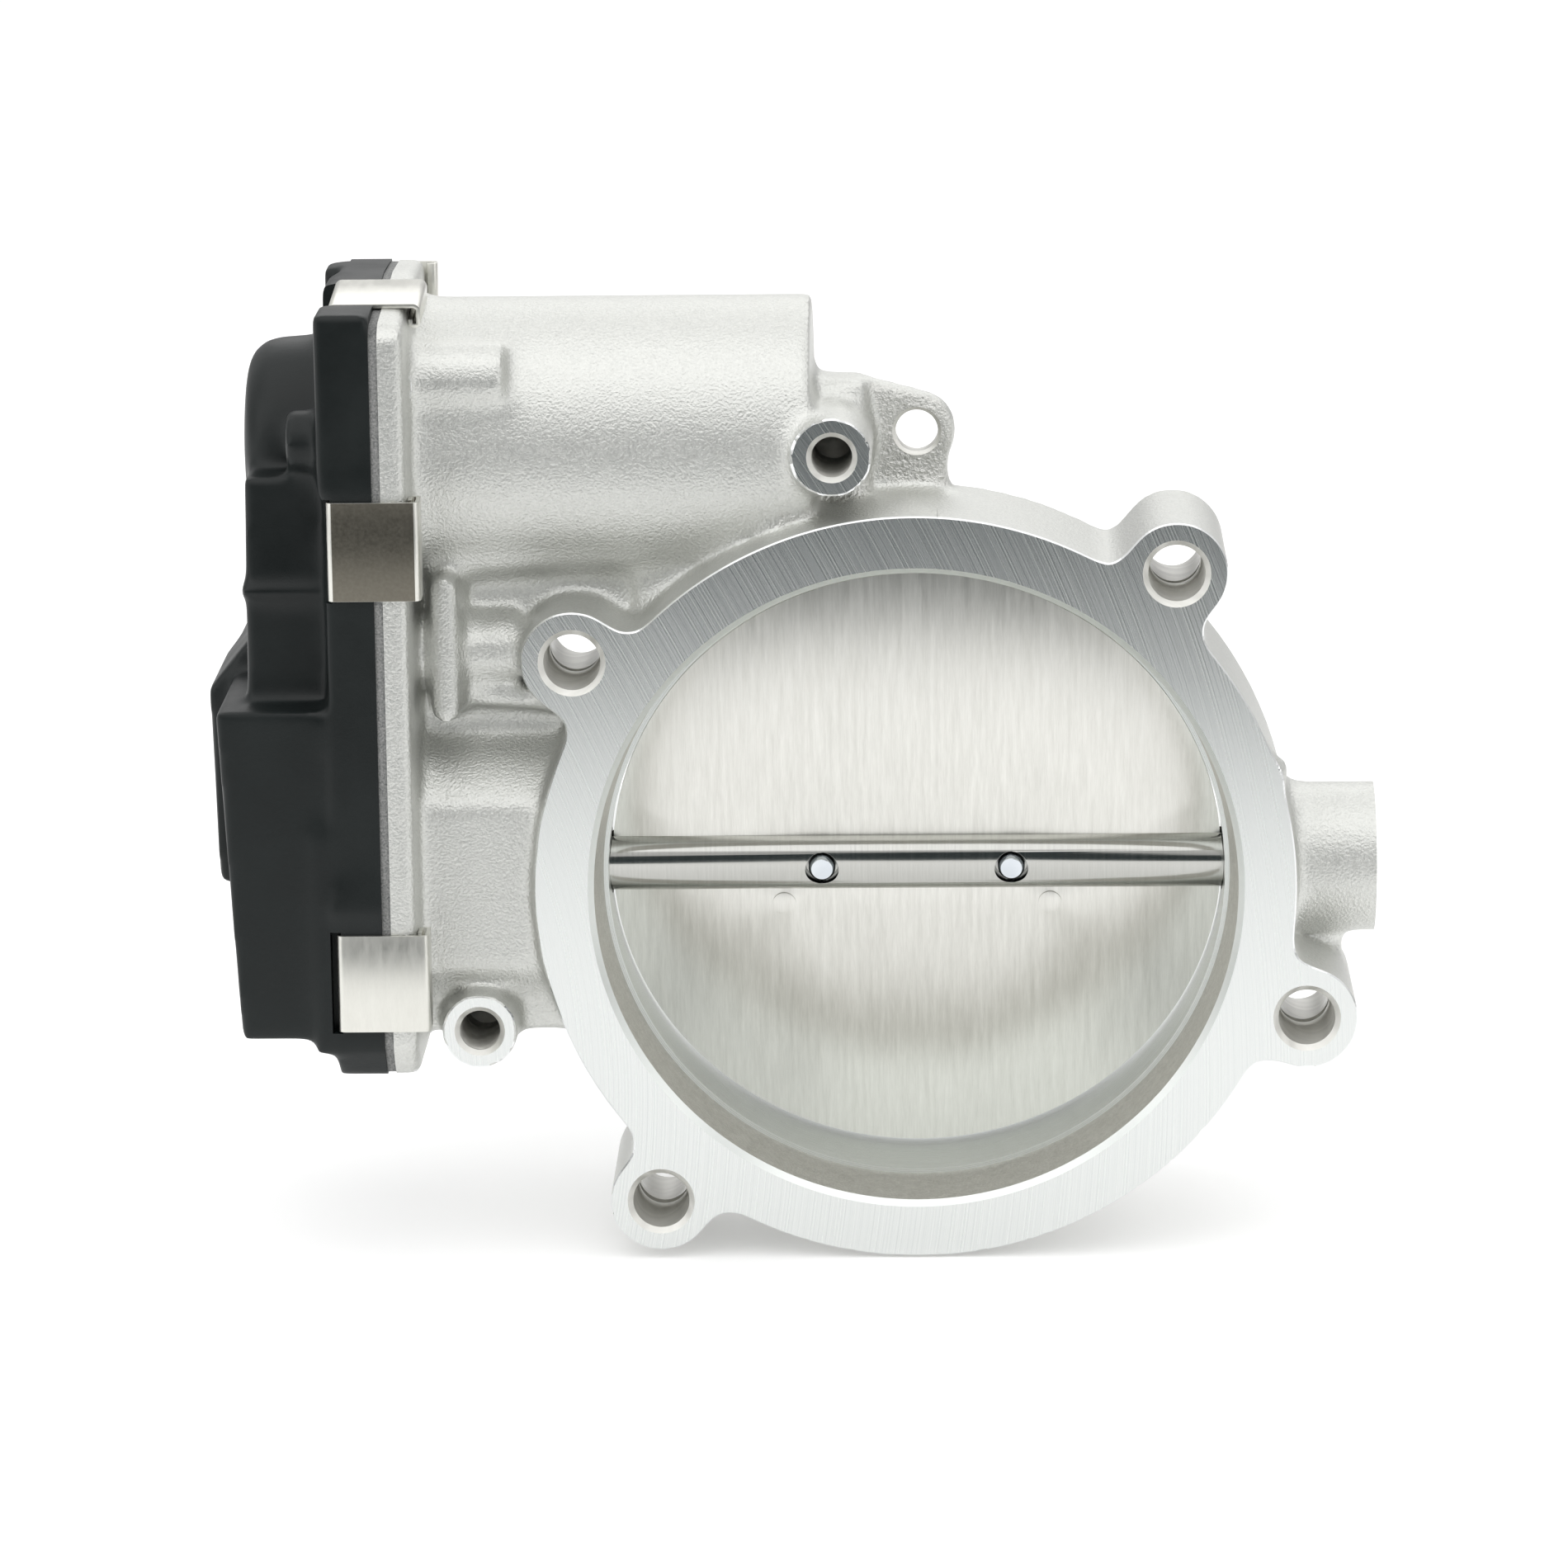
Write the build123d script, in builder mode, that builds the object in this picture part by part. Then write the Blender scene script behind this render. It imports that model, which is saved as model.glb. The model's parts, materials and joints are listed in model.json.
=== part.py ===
"""Electronic throttle body: cast housing, butterfly valve, motor, gear train and side cover.

Frame: the origin is the centre of the bore on the manifold face. +X runs along the throttle
shaft towards its closed end, +Y runs along the bore towards the air inlet, and +Z is up.
All sizes are in millimetres.
"""

import os
from math import acos, atan2, cos, degrees, hypot, pi, radians, sin, sqrt, tan

from build123d import *

os.makedirs("parts", exist_ok=True)

# ---- bore, manifold flange and inlet -------------------------------------------------------
BORE_R = 46.0  # machined throttle bore
FLANGE_R = BORE_R + 10.2  # round manifold flange
FLANGE_DEPTH = 28.5  # flange drum and bolt ears, front to back
CAST_MOUTH_R = BORE_R + 1.7  # unmachined mouth of the bore
CAST_MOUTH_DEPTH = 12.0
INLET_R = BORE_R + 3.4  # outside of the inlet snout
INLET_BAND_R = INLET_R - 0.6  # turned band at the snout's end, for the duct
INLET_END = FLANGE_DEPTH + 23.5

# ---- bolt ears -----------------------------------------------------------------------------
BOLT_CIRCLE_R = FLANGE_R + 4.85
BOLT_ANGLES = (50.9, 145.4, 231.05, 341.1)  # degrees from +X in the flange plane
BOLT_HOLE_R = 4.05
EAR_R = 7.6
EAR_FILLET = 2.4
SCREW_HEAD_ROOM_R = 7.5  # free behind each ear for the screw's head and driver

# ---- shaft, plate and screws ---------------------------------------------------------------
SHAFT_Y = 20.8  # depth of the shaft axis behind the manifold face
SHAFT_R = 4.5
RUNNING_GAP = 0.05  # radial clearance of every shaft in its bearing
CLOSED_TILT = 6.0  # plate angle from the bore's cross section when shut
REST_TILT = 9.0  # plate angle at the sprung rest position
PLATE_T = 2.5
PLATE_EDGE_GAP = 0.3
SCREW_X = 14.2
SCREW_R = 2.0
SCREW_HEAD_R = 3.4
SHAFT_RIGHT_END = BORE_R + 14.5
BOSS_RIGHT_END = BORE_R + 22.5
BOSS_RIGHT_R = 11.2
SEAT_R = 7.0  # bearing and seal seats
DRIVE_BEARING_X = (-(BORE_R + 12.4), -(BORE_R + 5.0))
WELL_END = -(BORE_R + 14.0)  # bottom of the spring well
SEAL_T = 1.6

# ---- gear side, measured along the shaft ---------------------------------------------------
GEAR_FACE_X = -(FLANGE_R + 21.2)  # joint face of the housing's gear flange
GEAR_FLANGE_T = 3.7
NECK_FACE_X = GEAR_FACE_X + GEAR_FLANGE_T
GASKET_T = 1.3
COVER_X = GEAR_FACE_X - GASKET_T  # joint face of the cover
RIM_X = COVER_X - 7.1  # outside face of the cover's rim
UPPER_X = COVER_X - 20.3  # outside face of the cover's upper block
LOWER_X = COVER_X - 24.3  # outside face of the cover's lower block
BOX_FRONT = -4.5
BOX_BACK = 48.0
BOX_BOTTOM = -27.6
BOX_TOP = 88.6
COVER_WALL = 1.9

# ---- gear train ----------------------------------------------------------------------------
SECTOR_TEETH, SMALL_TEETH, SECTOR_MODULE = 44, 22, 1.0
LARGE_TEETH, PINION_TEETH, MOTOR_MODULE = 57, 21, 0.8
BACKLASH = 0.22  # thickness taken off every tooth at its pitch line
PRESSURE_ANGLE = radians(20)
SECTOR_SPAN = 13  # teeth cut on the sector
SECTOR_BEFORE = 11  # of these, the ones below the mesh point at rest
SHAFT_TO_PIN = SECTOR_MODULE * (SECTOR_TEETH + SMALL_TEETH) / 2
PIN_TO_MOTOR = MOTOR_MODULE * (LARGE_TEETH + PINION_TEETH) / 2
PIN_Y = 21.6
PIN_Z = sqrt(SHAFT_TO_PIN**2 - (PIN_Y - SHAFT_Y) ** 2)
MOTOR_Y = 24.5
MOTOR_Z = PIN_Z + sqrt(PIN_TO_MOTOR**2 - (MOTOR_Y - PIN_Y) ** 2)
SHAFT_AXIS = (SHAFT_Y, 0)
PIN_AXIS = (PIN_Y, PIN_Z)
MOTOR_AXIS = (MOTOR_Y, MOTOR_Z)
SECTOR_TIP = SECTOR_MODULE * (SECTOR_TEETH / 2 + 0.9)
LARGE_TIP = MOTOR_MODULE * (LARGE_TEETH / 2 + 0.9)
PIN_R = 3.0

# ---- motor ---------------------------------------------------------------------------------
CHAMBER_R = 21.0  # outside of the cast motor chamber
CHAMBER_END = -15.0
CAN_R = 18.0
CAN_GAP = 0.4
CAN_X = (GEAR_FACE_X + 5.4, CHAMBER_END - 6.0)
CAP_X = CAN_X[0] - 3.0  # outside face of the motor's end cap
ARMATURE_X = (CAN_X[0] + 14.0, CAN_X[1] - 7.0)
MOTOR_SHAFT_R = 2.0
ARMATURE_R = 12.6

# ---- smaller cast bosses -------------------------------------------------------------------
THREAD_R = 3.0
TOP_BOSS = (-11.8, 64.6)
LOW_BOSS = (-64.9, -21.0)
LUG_HOLE = (0.5, 65.1)
LUG_HOLE_R = 3.15
LUG_R = 5.8
LUG_Y = (21.0, 25.0)

# ---- cover clips ---------------------------------------------------------------------------
CLIP_T = 0.6
CLIP_W = 14.6
CLIP_REACH = 3.4  # depth of the leg on the cover's side
FRONT_CLIP_Z = (52.4, -12.5)
BACK_CLIP_Z = (34.0, -12.5)
TOP_CLIP_Y = 13.5
TOP_BACK_CLIP_Z = 81.8
SHORT_CLIP_W = 11.6
CLIP_POCKET_X = RIM_X + 1.0
CLIP_GAP = 0.05


def bar_x(centre, radius, x0, x1, mode=Mode.ADD):
    """Round bar along X, centred on (y, z)."""
    with BuildSketch(Plane.YZ.offset(x0)) as section:
        with Locations(centre):
            Circle(radius)
    extrude(section.sketch, amount=x1 - x0, mode=mode)


def tube_x(centre, outer, inner, x0, x1):
    """Round tube along X, centred on (y, z)."""
    with BuildSketch(Plane.YZ.offset(x0)) as section:
        with Locations(centre):
            Circle(outer)
            Circle(inner, mode=Mode.SUBTRACT)
    extrude(section.sketch, amount=x1 - x0)


def bar_y(centre, radius, y0, y1, mode=Mode.ADD):
    """Round bar along Y, centred on (x, z)."""
    with BuildSketch(Plane.XZ.offset(-y0)) as section:
        with Locations(centre):
            Circle(radius)
    extrude(section.sketch, amount=y0 - y1, mode=mode)


def cone_y(centre, r0, r1, y0, y1, mode=Mode.SUBTRACT):
    """Round bar along Y whose radius goes from r0 at y0 to r1 at y1."""
    sections = []
    for y, radius in ((y0, r0), (y1, r1)):
        with BuildSketch(Plane.XZ.offset(-y)) as section:
            with Locations(centre):
                Circle(radius)
        sections.append(section.sketch.face())
    loft(sections, mode=mode)


def block(x, y, z, mode=Mode.ADD):
    """Box between the two ends given for each axis."""
    with Locations(tuple((a + b) / 2 for a, b in (x, y, z))):
        Box(*(abs(b - a) for a, b in (x, y, z)), mode=mode)


def box_plate(inset, x0, x1):
    """Plate with the gear box's outline, shrunk by inset, between x0 and x1."""
    front, back = BOX_FRONT + inset, BOX_BACK - inset
    bottom, top = BOX_BOTTOM + inset, BOX_TOP - inset
    corners = [
        (front, bottom + 5.0),
        (front + 4.0, bottom),
        (back - 5.0, bottom),
        (back, bottom + 6.0),
        (back, top - 27.0),
        (back - 4.0, top - 20.0),
        (back - 4.0, top - 0.4),
        (back - 20.0, top),
        (front + 2.0, top - 3.0),
        (front, top - 5.0),
    ]
    with BuildSketch(Plane.YZ.offset(x0)) as outline:
        with BuildLine():
            Polyline(*corners, close=True)
        make_face()
        fillet(outline.vertices(), radius=1.8)
    extrude(outline.sketch, amount=x1 - x0)


def gear_hollow(x0, x1, mode=Mode.SUBTRACT):
    """Room for the gears between x0 and x1, the same in the housing, gasket and cover rim."""
    with BuildSketch(Plane.YZ.offset(x0)) as hollow:
        with Locations(PIN_AXIS):
            Circle(LARGE_TIP + 0.6)
        with Locations(((BOX_BACK - 3.0 + 1.0) / 2, (BOX_BOTTOM + MOTOR_Z + 4.0) / 2)):
            RectangleRounded(BOX_BACK - 4.0, MOTOR_Z - BOX_BOTTOM - 4.0, 4.0)
        with Locations(MOTOR_AXIS):
            Circle(CHAMBER_R - 0.9)
    extrude(hollow.sketch, amount=x1 - x0, mode=mode)


def gear_points(centre, teeth, module, first, count):
    """Corner points of count involute teeth; the first tooth is centred on the angle first."""
    pitch_r = module * teeth / 2
    base_r = pitch_r * cos(PRESSURE_ANGLE)
    root_r, tip_r = pitch_r - 1.2 * module, pitch_r + 0.9 * module
    radii = [root_r, max(base_r, root_r + 0.02), pitch_r - 0.35 * module]
    radii += [pitch_r + 0.25 * module, tip_r]

    def half_tooth(radius):
        pressure = acos(min(base_r / radius, 1.0))
        at_pitch = (pi / 2 - BACKLASH / (2 * module)) / teeth
        return at_pitch + (tan(PRESSURE_ANGLE) - PRESSURE_ANGLE) - (tan(pressure) - pressure)

    points = []
    for tooth in range(count):
        middle = radians(first) + tooth * 2 * pi / teeth
        for side, reach in ((-1, radii), (1, radii[::-1])):
            for radius in reach:
                angle = middle + side * half_tooth(radius)
                points.append((centre[0] + radius * cos(angle), centre[1] + radius * sin(angle)))
    return points


def gear_x(centre, teeth, module, first, x0, x1):
    """Whole spur gear between x0 and x1."""
    with BuildSketch(Plane.YZ.offset(x0)) as profile:
        with BuildLine():
            Polyline(*gear_points(centre, teeth, module, first, teeth), close=True)
        make_face()
    extrude(profile.sketch, amount=x1 - x0)


def bearing(x0, x1, outer, inner):
    """Drawn-cup needle bearing: a shell with turned-in lips and a ring of needles."""
    tube_x(SHAFT_AXIS, outer, outer - 0.9, x0, x1)
    for lip in (x0, x1 - 0.8):
        tube_x(SHAFT_AXIS, outer, inner, lip, lip + 0.8)
    needle_r = (outer - 0.9 - inner) / 2
    with BuildSketch(Plane.YZ.offset(x0 + 0.8)) as needles:
        with Locations(SHAFT_AXIS):
            with PolarLocations(inner + needle_r + 0.06, 12):
                Circle(needle_r)
    extrude(needles.sketch, amount=x1 - x0 - 1.6)


def clip(x_dir, origin, width, leg):
    """Spring clip round the joint; its own axes are x along X, y out of the box, z across."""
    frame = Plane(origin=origin, x_dir=(1, 0, 0), z_dir=x_dir)
    far = NECK_FACE_X + 1.9
    with BuildSketch(frame.offset(-width / 2)) as section:
        with BuildLine():
            Polyline(
                (CLIP_POCKET_X, -CLIP_REACH), (CLIP_POCKET_X, CLIP_GAP), (far - CLIP_T, CLIP_GAP),
                (far - CLIP_T, -leg + 0.5), (far - 1.1, -leg + 0.7), (NECK_FACE_X + 0.65, -1.4),
                (NECK_FACE_X + CLIP_GAP, -1.4), (far - 1.5, -leg + 0.1), (far - 0.4, -leg - 0.1),
                (far, -leg + 0.5), (far, CLIP_GAP + CLIP_T), (CLIP_POCKET_X - CLIP_T, CLIP_GAP + CLIP_T),
                (CLIP_POCKET_X - CLIP_T, -CLIP_REACH), close=True,
            )
        make_face()
    extrude(section.sketch, amount=width)


# Plane of the tilted plate: local x is the shaft, local y runs up the plate, and the normal
# points out of the bore's manifold side.
plate_plane = Plane(
    origin=(0, SHAFT_Y, 0),
    x_dir=(1, 0, 0),
    z_dir=(0, -cos(radians(REST_TILT)), -sin(radians(REST_TILT))),
)
mesh_angle = degrees(atan2(PIN_Z, PIN_Y - SHAFT_Y))
drive_angle = degrees(atan2(MOTOR_Z - PIN_Z, MOTOR_Y - PIN_Y))

# ============================================================================================
# Housing
# ============================================================================================
with BuildPart() as throttle_housing:
    # Neck around the shaft, flattened so that it stays behind the manifold face.
    bar_x(SHAFT_AXIS, 22.0, NECK_FACE_X, -40)
    block((NECK_FACE_X, -45), (7.5, 34), (-23.0, 0))
    block((NECK_FACE_X, -40), (-5, 2.5), (-30, 30), mode=Mode.SUBTRACT)
    # Manifold flange: a thick ring with four bolt ears blended into it.
    with BuildSketch(Plane.XZ) as flange:
        Circle(FLANGE_R)
        for angle in BOLT_ANGLES:
            with Locations(Rotation(0, 0, angle)):
                with Locations((BOLT_CIRCLE_R / 2 + 20, 0)):
                    Rectangle(BOLT_CIRCLE_R - 40, 2 * EAR_R)
                with Locations((BOLT_CIRCLE_R, 0)):
                    Circle(EAR_R)
        roots = [v for v in flange.vertices() if abs(hypot(v.X, v.Y) - FLANGE_R) < 0.05]
        fillet(roots, radius=EAR_FILLET)
    extrude(amount=-FLANGE_DEPTH)
    # Inlet snout behind the flange, with a turned band at its end for the duct.
    bar_y((0, 0), INLET_R, FLANGE_DEPTH, INLET_END - 7)
    bar_y((0, 0), INLET_BAND_R, INLET_END - 7, INLET_END)
    # Motor chamber and the web under it.
    bar_x(MOTOR_AXIS, CHAMBER_R, NECK_FACE_X, CHAMBER_END)
    block((NECK_FACE_X, -39.5), (14, 36), (0, 45))
    block((NECK_FACE_X + 6, -42), (9, 16), (25.2, 28.4))
    # Upright rib beside the gear flange.
    block((-71.0, -67.5), (4.5, 20), (24.6, 46.8))
    bar_y((-69.25, 46.8), 1.75, 4.5, 20)
    bar_y((-69.25, 24.6), 1.75, 4.5, 20)
    # Bosses for the intermediate gear's pin and for the motor's upper screw.
    bar_x(PIN_AXIS, 5.6, NECK_FACE_X, -58.5)
    bar_x((12.5, PIN_Z + 1.6), 5.6, NECK_FACE_X, -58.5)
    bar_x((8.6, MOTOR_Z + 11.5), 5.5, NECK_FACE_X, -59.8)
    # Gear flange.
    box_plate(0, GEAR_FACE_X, NECK_FACE_X)
    # Threaded boss beside the motor, its pillar, and the bracket lug.
    bar_y(TOP_BOSS, 5.95, 2.6, 22)
    bar_y(TOP_BOSS, 4.9, 2.0, 3.0)
    block((CHAMBER_END - 2, -7.2), (17, 27), (48, 73.4))
    with BuildSketch(Plane.XZ.offset(-LUG_Y[0])):
        with Locations(LUG_HOLE):
            Circle(LUG_R)
        with BuildLine():
            Polyline(
                (-8, 50), (-8, 73.4), (LUG_HOLE[0] + 1.3, LUG_HOLE[1] + LUG_R - 0.15),
                LUG_HOLE, (LUG_HOLE[0] + LUG_R - 0.6, LUG_HOLE[1] - 2.0), (5.0, 60.5), (5.0, 50),
                close=True,
            )
        make_face()
    extrude(amount=LUG_Y[0] - LUG_Y[1])
    # Threaded boss under the neck.
    bar_y(LOW_BOSS, 5.7, 0.2, 26)
    bar_y(LOW_BOSS, 4.6, -0.4, 1.0)
    # Shaft boss on the closed side, with the rib under it.
    bar_x(SHAFT_AXIS, BOSS_RIGHT_R, BORE_R + 4, BOSS_RIGHT_END)
    block((BORE_R + 4, 63.6), (17.5, 22.5), (-21, -6))
    # Feeder stub left on the flange's edge.
    block((FLANGE_R - 3.4, FLANGE_R - 1.4), (1.2, 4.5), (15.6, 19.0))

    # Bore: cast mouth with draft, machined throat, and a lead-in at the inlet.
    bar_y((0, 0), BORE_R, -1, INLET_END + 1, mode=Mode.SUBTRACT)
    cone_y((0, 0), CAST_MOUTH_R, BORE_R + 0.7, 0, CAST_MOUTH_DEPTH)
    cone_y((0, 0), CAST_MOUTH_R + 0.8, CAST_MOUTH_R - 0.1, 0, 0.9)
    cone_y((0, 0), BORE_R, BORE_R + 1.6, INLET_END - 6, INLET_END)
    # Bolt holes with their countersinks.
    for angle in BOLT_ANGLES:
        hole = (BOLT_CIRCLE_R * cos(radians(angle)), BOLT_CIRCLE_R * sin(radians(angle)))
        bar_y(hole, BOLT_HOLE_R, -1, FLANGE_DEPTH + 1, mode=Mode.SUBTRACT)
        cone_y(hole, BOLT_HOLE_R + 0.85, BOLT_HOLE_R, 0, 0.85)
        # Room for the screw head and its driver behind the ear.
        bar_y(hole, SCREW_HEAD_ROOM_R, FLANGE_DEPTH, INLET_END, mode=Mode.SUBTRACT)
    # Threaded holes and the bracket hole.
    for (hole, mouth) in ((TOP_BOSS, 2.0), (LOW_BOSS, -0.4)):
        bar_y(hole, THREAD_R, mouth - 1, mouth + 16, mode=Mode.SUBTRACT)
        cone_y(hole, THREAD_R + 0.6, THREAD_R, mouth, mouth + 0.6)
    bar_y(LUG_HOLE, LUG_HOLE_R, 20, 26, mode=Mode.SUBTRACT)
    # Gear side: hollow behind the cover, spring well, motor chamber and pin hole.
    gear_hollow(GEAR_FACE_X, GEAR_FACE_X + 2.0)
    bar_x(SHAFT_AXIS, 17.0, GEAR_FACE_X, WELL_END, mode=Mode.SUBTRACT)
    bar_x(MOTOR_AXIS, CAN_R + CAN_GAP, GEAR_FACE_X, CHAMBER_END - 2.4, mode=Mode.SUBTRACT)
    bar_x(PIN_AXIS, PIN_R, GEAR_FACE_X, WELL_END - 1, mode=Mode.SUBTRACT)
    # Shaft passage, bearing seats and seal seat.
    bar_x(SHAFT_AXIS, SHAFT_R + 0.5, GEAR_FACE_X, SHAFT_RIGHT_END + 1, mode=Mode.SUBTRACT)
    bar_x(SHAFT_AXIS, SEAT_R, WELL_END - 1, DRIVE_BEARING_X[1], mode=Mode.SUBTRACT)
    bar_x(SHAFT_AXIS, SEAT_R, BORE_R + 5, SHAFT_RIGHT_END + 1, mode=Mode.SUBTRACT)
    bar_x(SHAFT_AXIS, 8.4, SHAFT_RIGHT_END + 1, BOSS_RIGHT_END + 1, mode=Mode.SUBTRACT)
throttle_housing.part.label = "throttle_housing"
export_step(throttle_housing.part, "parts/throttle_housing.step")

# ============================================================================================
# Valve
# ============================================================================================
with BuildPart() as throttle_shaft:
    bar_x(SHAFT_AXIS, SHAFT_R, COVER_X - 13.5, SHAFT_RIGHT_END)
    chamfer(throttle_shaft.edges().filter_by(GeomType.CIRCLE), length=0.5)
    # Slot for the plate.
    with BuildSketch(plate_plane.offset(-PLATE_T / 2)):
        Rectangle(2 * BORE_R - 0.4, 4 * SHAFT_R)
    extrude(amount=PLATE_T, mode=Mode.SUBTRACT)
    # Screw holes: wide in front, close in the slot's far wall, with a flat seat for each head.
    with BuildSketch(plate_plane):
        with Locations((-SCREW_X, 0), (SCREW_X, 0)):
            Circle(SCREW_R + 0.5)
    extrude(amount=SHAFT_R + 1, mode=Mode.SUBTRACT)
    with BuildSketch(plate_plane):
        with Locations((-SCREW_X, 0), (SCREW_X, 0)):
            Circle(SCREW_R + RUNNING_GAP)
    extrude(amount=-SHAFT_R - 1, mode=Mode.SUBTRACT)
    with BuildSketch(plate_plane.offset(-3.4)):
        with Locations((-SCREW_X, 0), (SCREW_X, 0)):
            Circle(SCREW_HEAD_R + 0.6)
    extrude(amount=-SHAFT_R, mode=Mode.SUBTRACT)
throttle_shaft.part.label = "throttle_shaft"
export_step(throttle_shaft.part, "parts/throttle_shaft.step")

with BuildPart() as throttle_plate:
    # Disc cut by a cylinder that lines up with the bore when the valve is shut.
    with BuildSketch(plate_plane.offset(-PLATE_T / 2)):
        Circle(BORE_R + 4)
    extrude(amount=PLATE_T)
    tilt = radians(REST_TILT - CLOSED_TILT)
    bore_line = Plane(origin=(0, SHAFT_Y, 0), x_dir=(1, 0, 0), z_dir=(0, -cos(tilt), -sin(tilt)))
    with BuildSketch(bore_line.offset(-20)):
        Circle(BORE_R - PLATE_EDGE_GAP)
    extrude(amount=40, mode=Mode.INTERSECT)
    with BuildSketch(plate_plane.offset(-PLATE_T / 2)):
        with Locations((-SCREW_X, 0), (SCREW_X, 0)):
            Circle(SCREW_R + RUNNING_GAP)
    extrude(amount=PLATE_T, mode=Mode.SUBTRACT)
    # Two half-sheared locating bumps just under the shaft.
    with BuildSketch(plate_plane.offset(PLATE_T / 2)):
        with Locations((-20, -6.7), (20, -6.7)):
            Circle(1.75)
    extrude(amount=0.25)
throttle_plate.part.label = "throttle_plate"
export_step(throttle_plate.part, "parts/throttle_plate.step")

with BuildPart() as plate_screws:
    for x in (-SCREW_X, SCREW_X):
        with BuildSketch(plate_plane.offset(-3.4)):
            with Locations((x, 0)):
                Circle(SCREW_R)
        extrude(amount=3.4 + 3.6)
        with BuildSketch(plate_plane.offset(3.6)):
            with Locations((x, 0)):
                Circle(SCREW_R)
        extrude(amount=0.7, taper=30)
        with BuildSketch(plate_plane.offset(-3.4)):
            with Locations((x, 0)):
                Circle(SCREW_HEAD_R)
        extrude(amount=-2.2, taper=8)
        with BuildSketch(plate_plane.offset(-5.6)):
            with Locations((x, 0)):
                RegularPolygon(1.5, 6)
        extrude(amount=1.2, mode=Mode.SUBTRACT)
plate_screws.part.label = "plate_screws"
export_step(plate_screws.part, "parts/plate_screws.step")

# ============================================================================================
# Bearings, seal and end plug on the shaft line
# ============================================================================================
with BuildPart() as drive_bearing:
    bearing(*DRIVE_BEARING_X, SEAT_R, SHAFT_R + RUNNING_GAP)
drive_bearing.part.label = "drive_bearing"
export_step(drive_bearing.part, "parts/drive_bearing.step")

with BuildPart() as end_bearing:
    bearing(BORE_R + 5, BORE_R + 14, SEAT_R, SHAFT_R + RUNNING_GAP)
end_bearing.part.label = "end_bearing"
export_step(end_bearing.part, "parts/end_bearing.step")

with BuildPart() as shaft_seal:
    tube_x(SHAFT_AXIS, SEAT_R, SEAT_R - 1.4, DRIVE_BEARING_X[0] - SEAL_T, DRIVE_BEARING_X[0])
    tube_x(SHAFT_AXIS, SEAT_R, SHAFT_R + RUNNING_GAP, DRIVE_BEARING_X[0] - 0.6, DRIVE_BEARING_X[0])
shaft_seal.part.label = "shaft_seal"
export_step(shaft_seal.part, "parts/shaft_seal.step")

with BuildPart() as end_plug:
    bar_x(SHAFT_AXIS, 8.4, SHAFT_RIGHT_END + 2.5, BOSS_RIGHT_END - 1.6)
    bar_x(SHAFT_AXIS, 6.2, BOSS_RIGHT_END - 3.0, BOSS_RIGHT_END, mode=Mode.SUBTRACT)
end_plug.part.label = "end_plug"
export_step(end_plug.part, "parts/end_plug.step")

# ============================================================================================
# Sector gear and return spring
# ============================================================================================
SECTOR_X = (COVER_X - 12.8, COVER_X - 5.6)  # toothed part, clear of the large gear
HUB_X = (COVER_X - 16.0, GEAR_FACE_X + 0.8)
SPRING_R, WIRE_R, SPRING_TURNS, SPRING_PITCH = 13.0, 0.8, 4, 2.3
SPRING_X = GEAR_FACE_X + 3.8
with BuildPart() as sector_gear:
    first_tooth = mesh_angle - SECTOR_BEFORE * 360 / SECTOR_TEETH
    with BuildSketch(Plane.YZ.offset(SECTOR_X[0])):
        with BuildLine():
            Polyline(
                SHAFT_AXIS,
                *gear_points(SHAFT_AXIS, SECTOR_TEETH, SECTOR_MODULE, first_tooth, SECTOR_SPAN),
                close=True,
            )
        make_face()
    extrude(amount=SECTOR_X[1] - SECTOR_X[0])
    bar_x(SHAFT_AXIS, 8.0, HUB_X[0], HUB_X[1])
    bar_x(SHAFT_AXIS, 11.0, SECTOR_X[0] - 1.0, SECTOR_X[1])
    bar_x(SHAFT_AXIS, SPRING_R + 2.0, SECTOR_X[1] - 1.6, SECTOR_X[1])
    # Lightening pockets between the hub and the teeth.
    for turn in (20, 48, 76):
        with BuildSketch(Plane.YZ.offset(SECTOR_X[0])):
            with Locations(SHAFT_AXIS):
                with PolarLocations(15.0, 1, start_angle=turn):
                    SlotOverall(6.5, 4.0, rotation=90)
        extrude(amount=SECTOR_X[1] - SECTOR_X[0], mode=Mode.SUBTRACT)
    # Seat for the metal insert, and pockets for the sensor magnets.
    bar_x(SHAFT_AXIS, 6.5, COVER_X - 13.5, HUB_X[1], mode=Mode.SUBTRACT)
    for side in (-1, 1):
        block((HUB_X[0], HUB_X[0] + 2.0), (SHAFT_Y + side * 3.0, SHAFT_Y + side * 6.0), (-4, 4),
              mode=Mode.SUBTRACT)
sector_gear.part.label = "sector_gear"
export_step(sector_gear.part, "parts/sector_gear.step")

with BuildPart() as sector_insert:
    tube_x(SHAFT_AXIS, 6.5, SHAFT_R, COVER_X - 13.5, HUB_X[1])
sector_insert.part.label = "sector_insert"
export_step(sector_insert.part, "parts/sector_insert.step")

with BuildPart() as sensor_magnets:
    for side in (-1, 1):
        block((HUB_X[0], HUB_X[0] + 2.0), (SHAFT_Y + side * 3.0, SHAFT_Y + side * 6.0), (-4, 4))
sensor_magnets.part.label = "sensor_magnets"
export_step(sensor_magnets.part, "parts/sensor_magnets.step")

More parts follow.
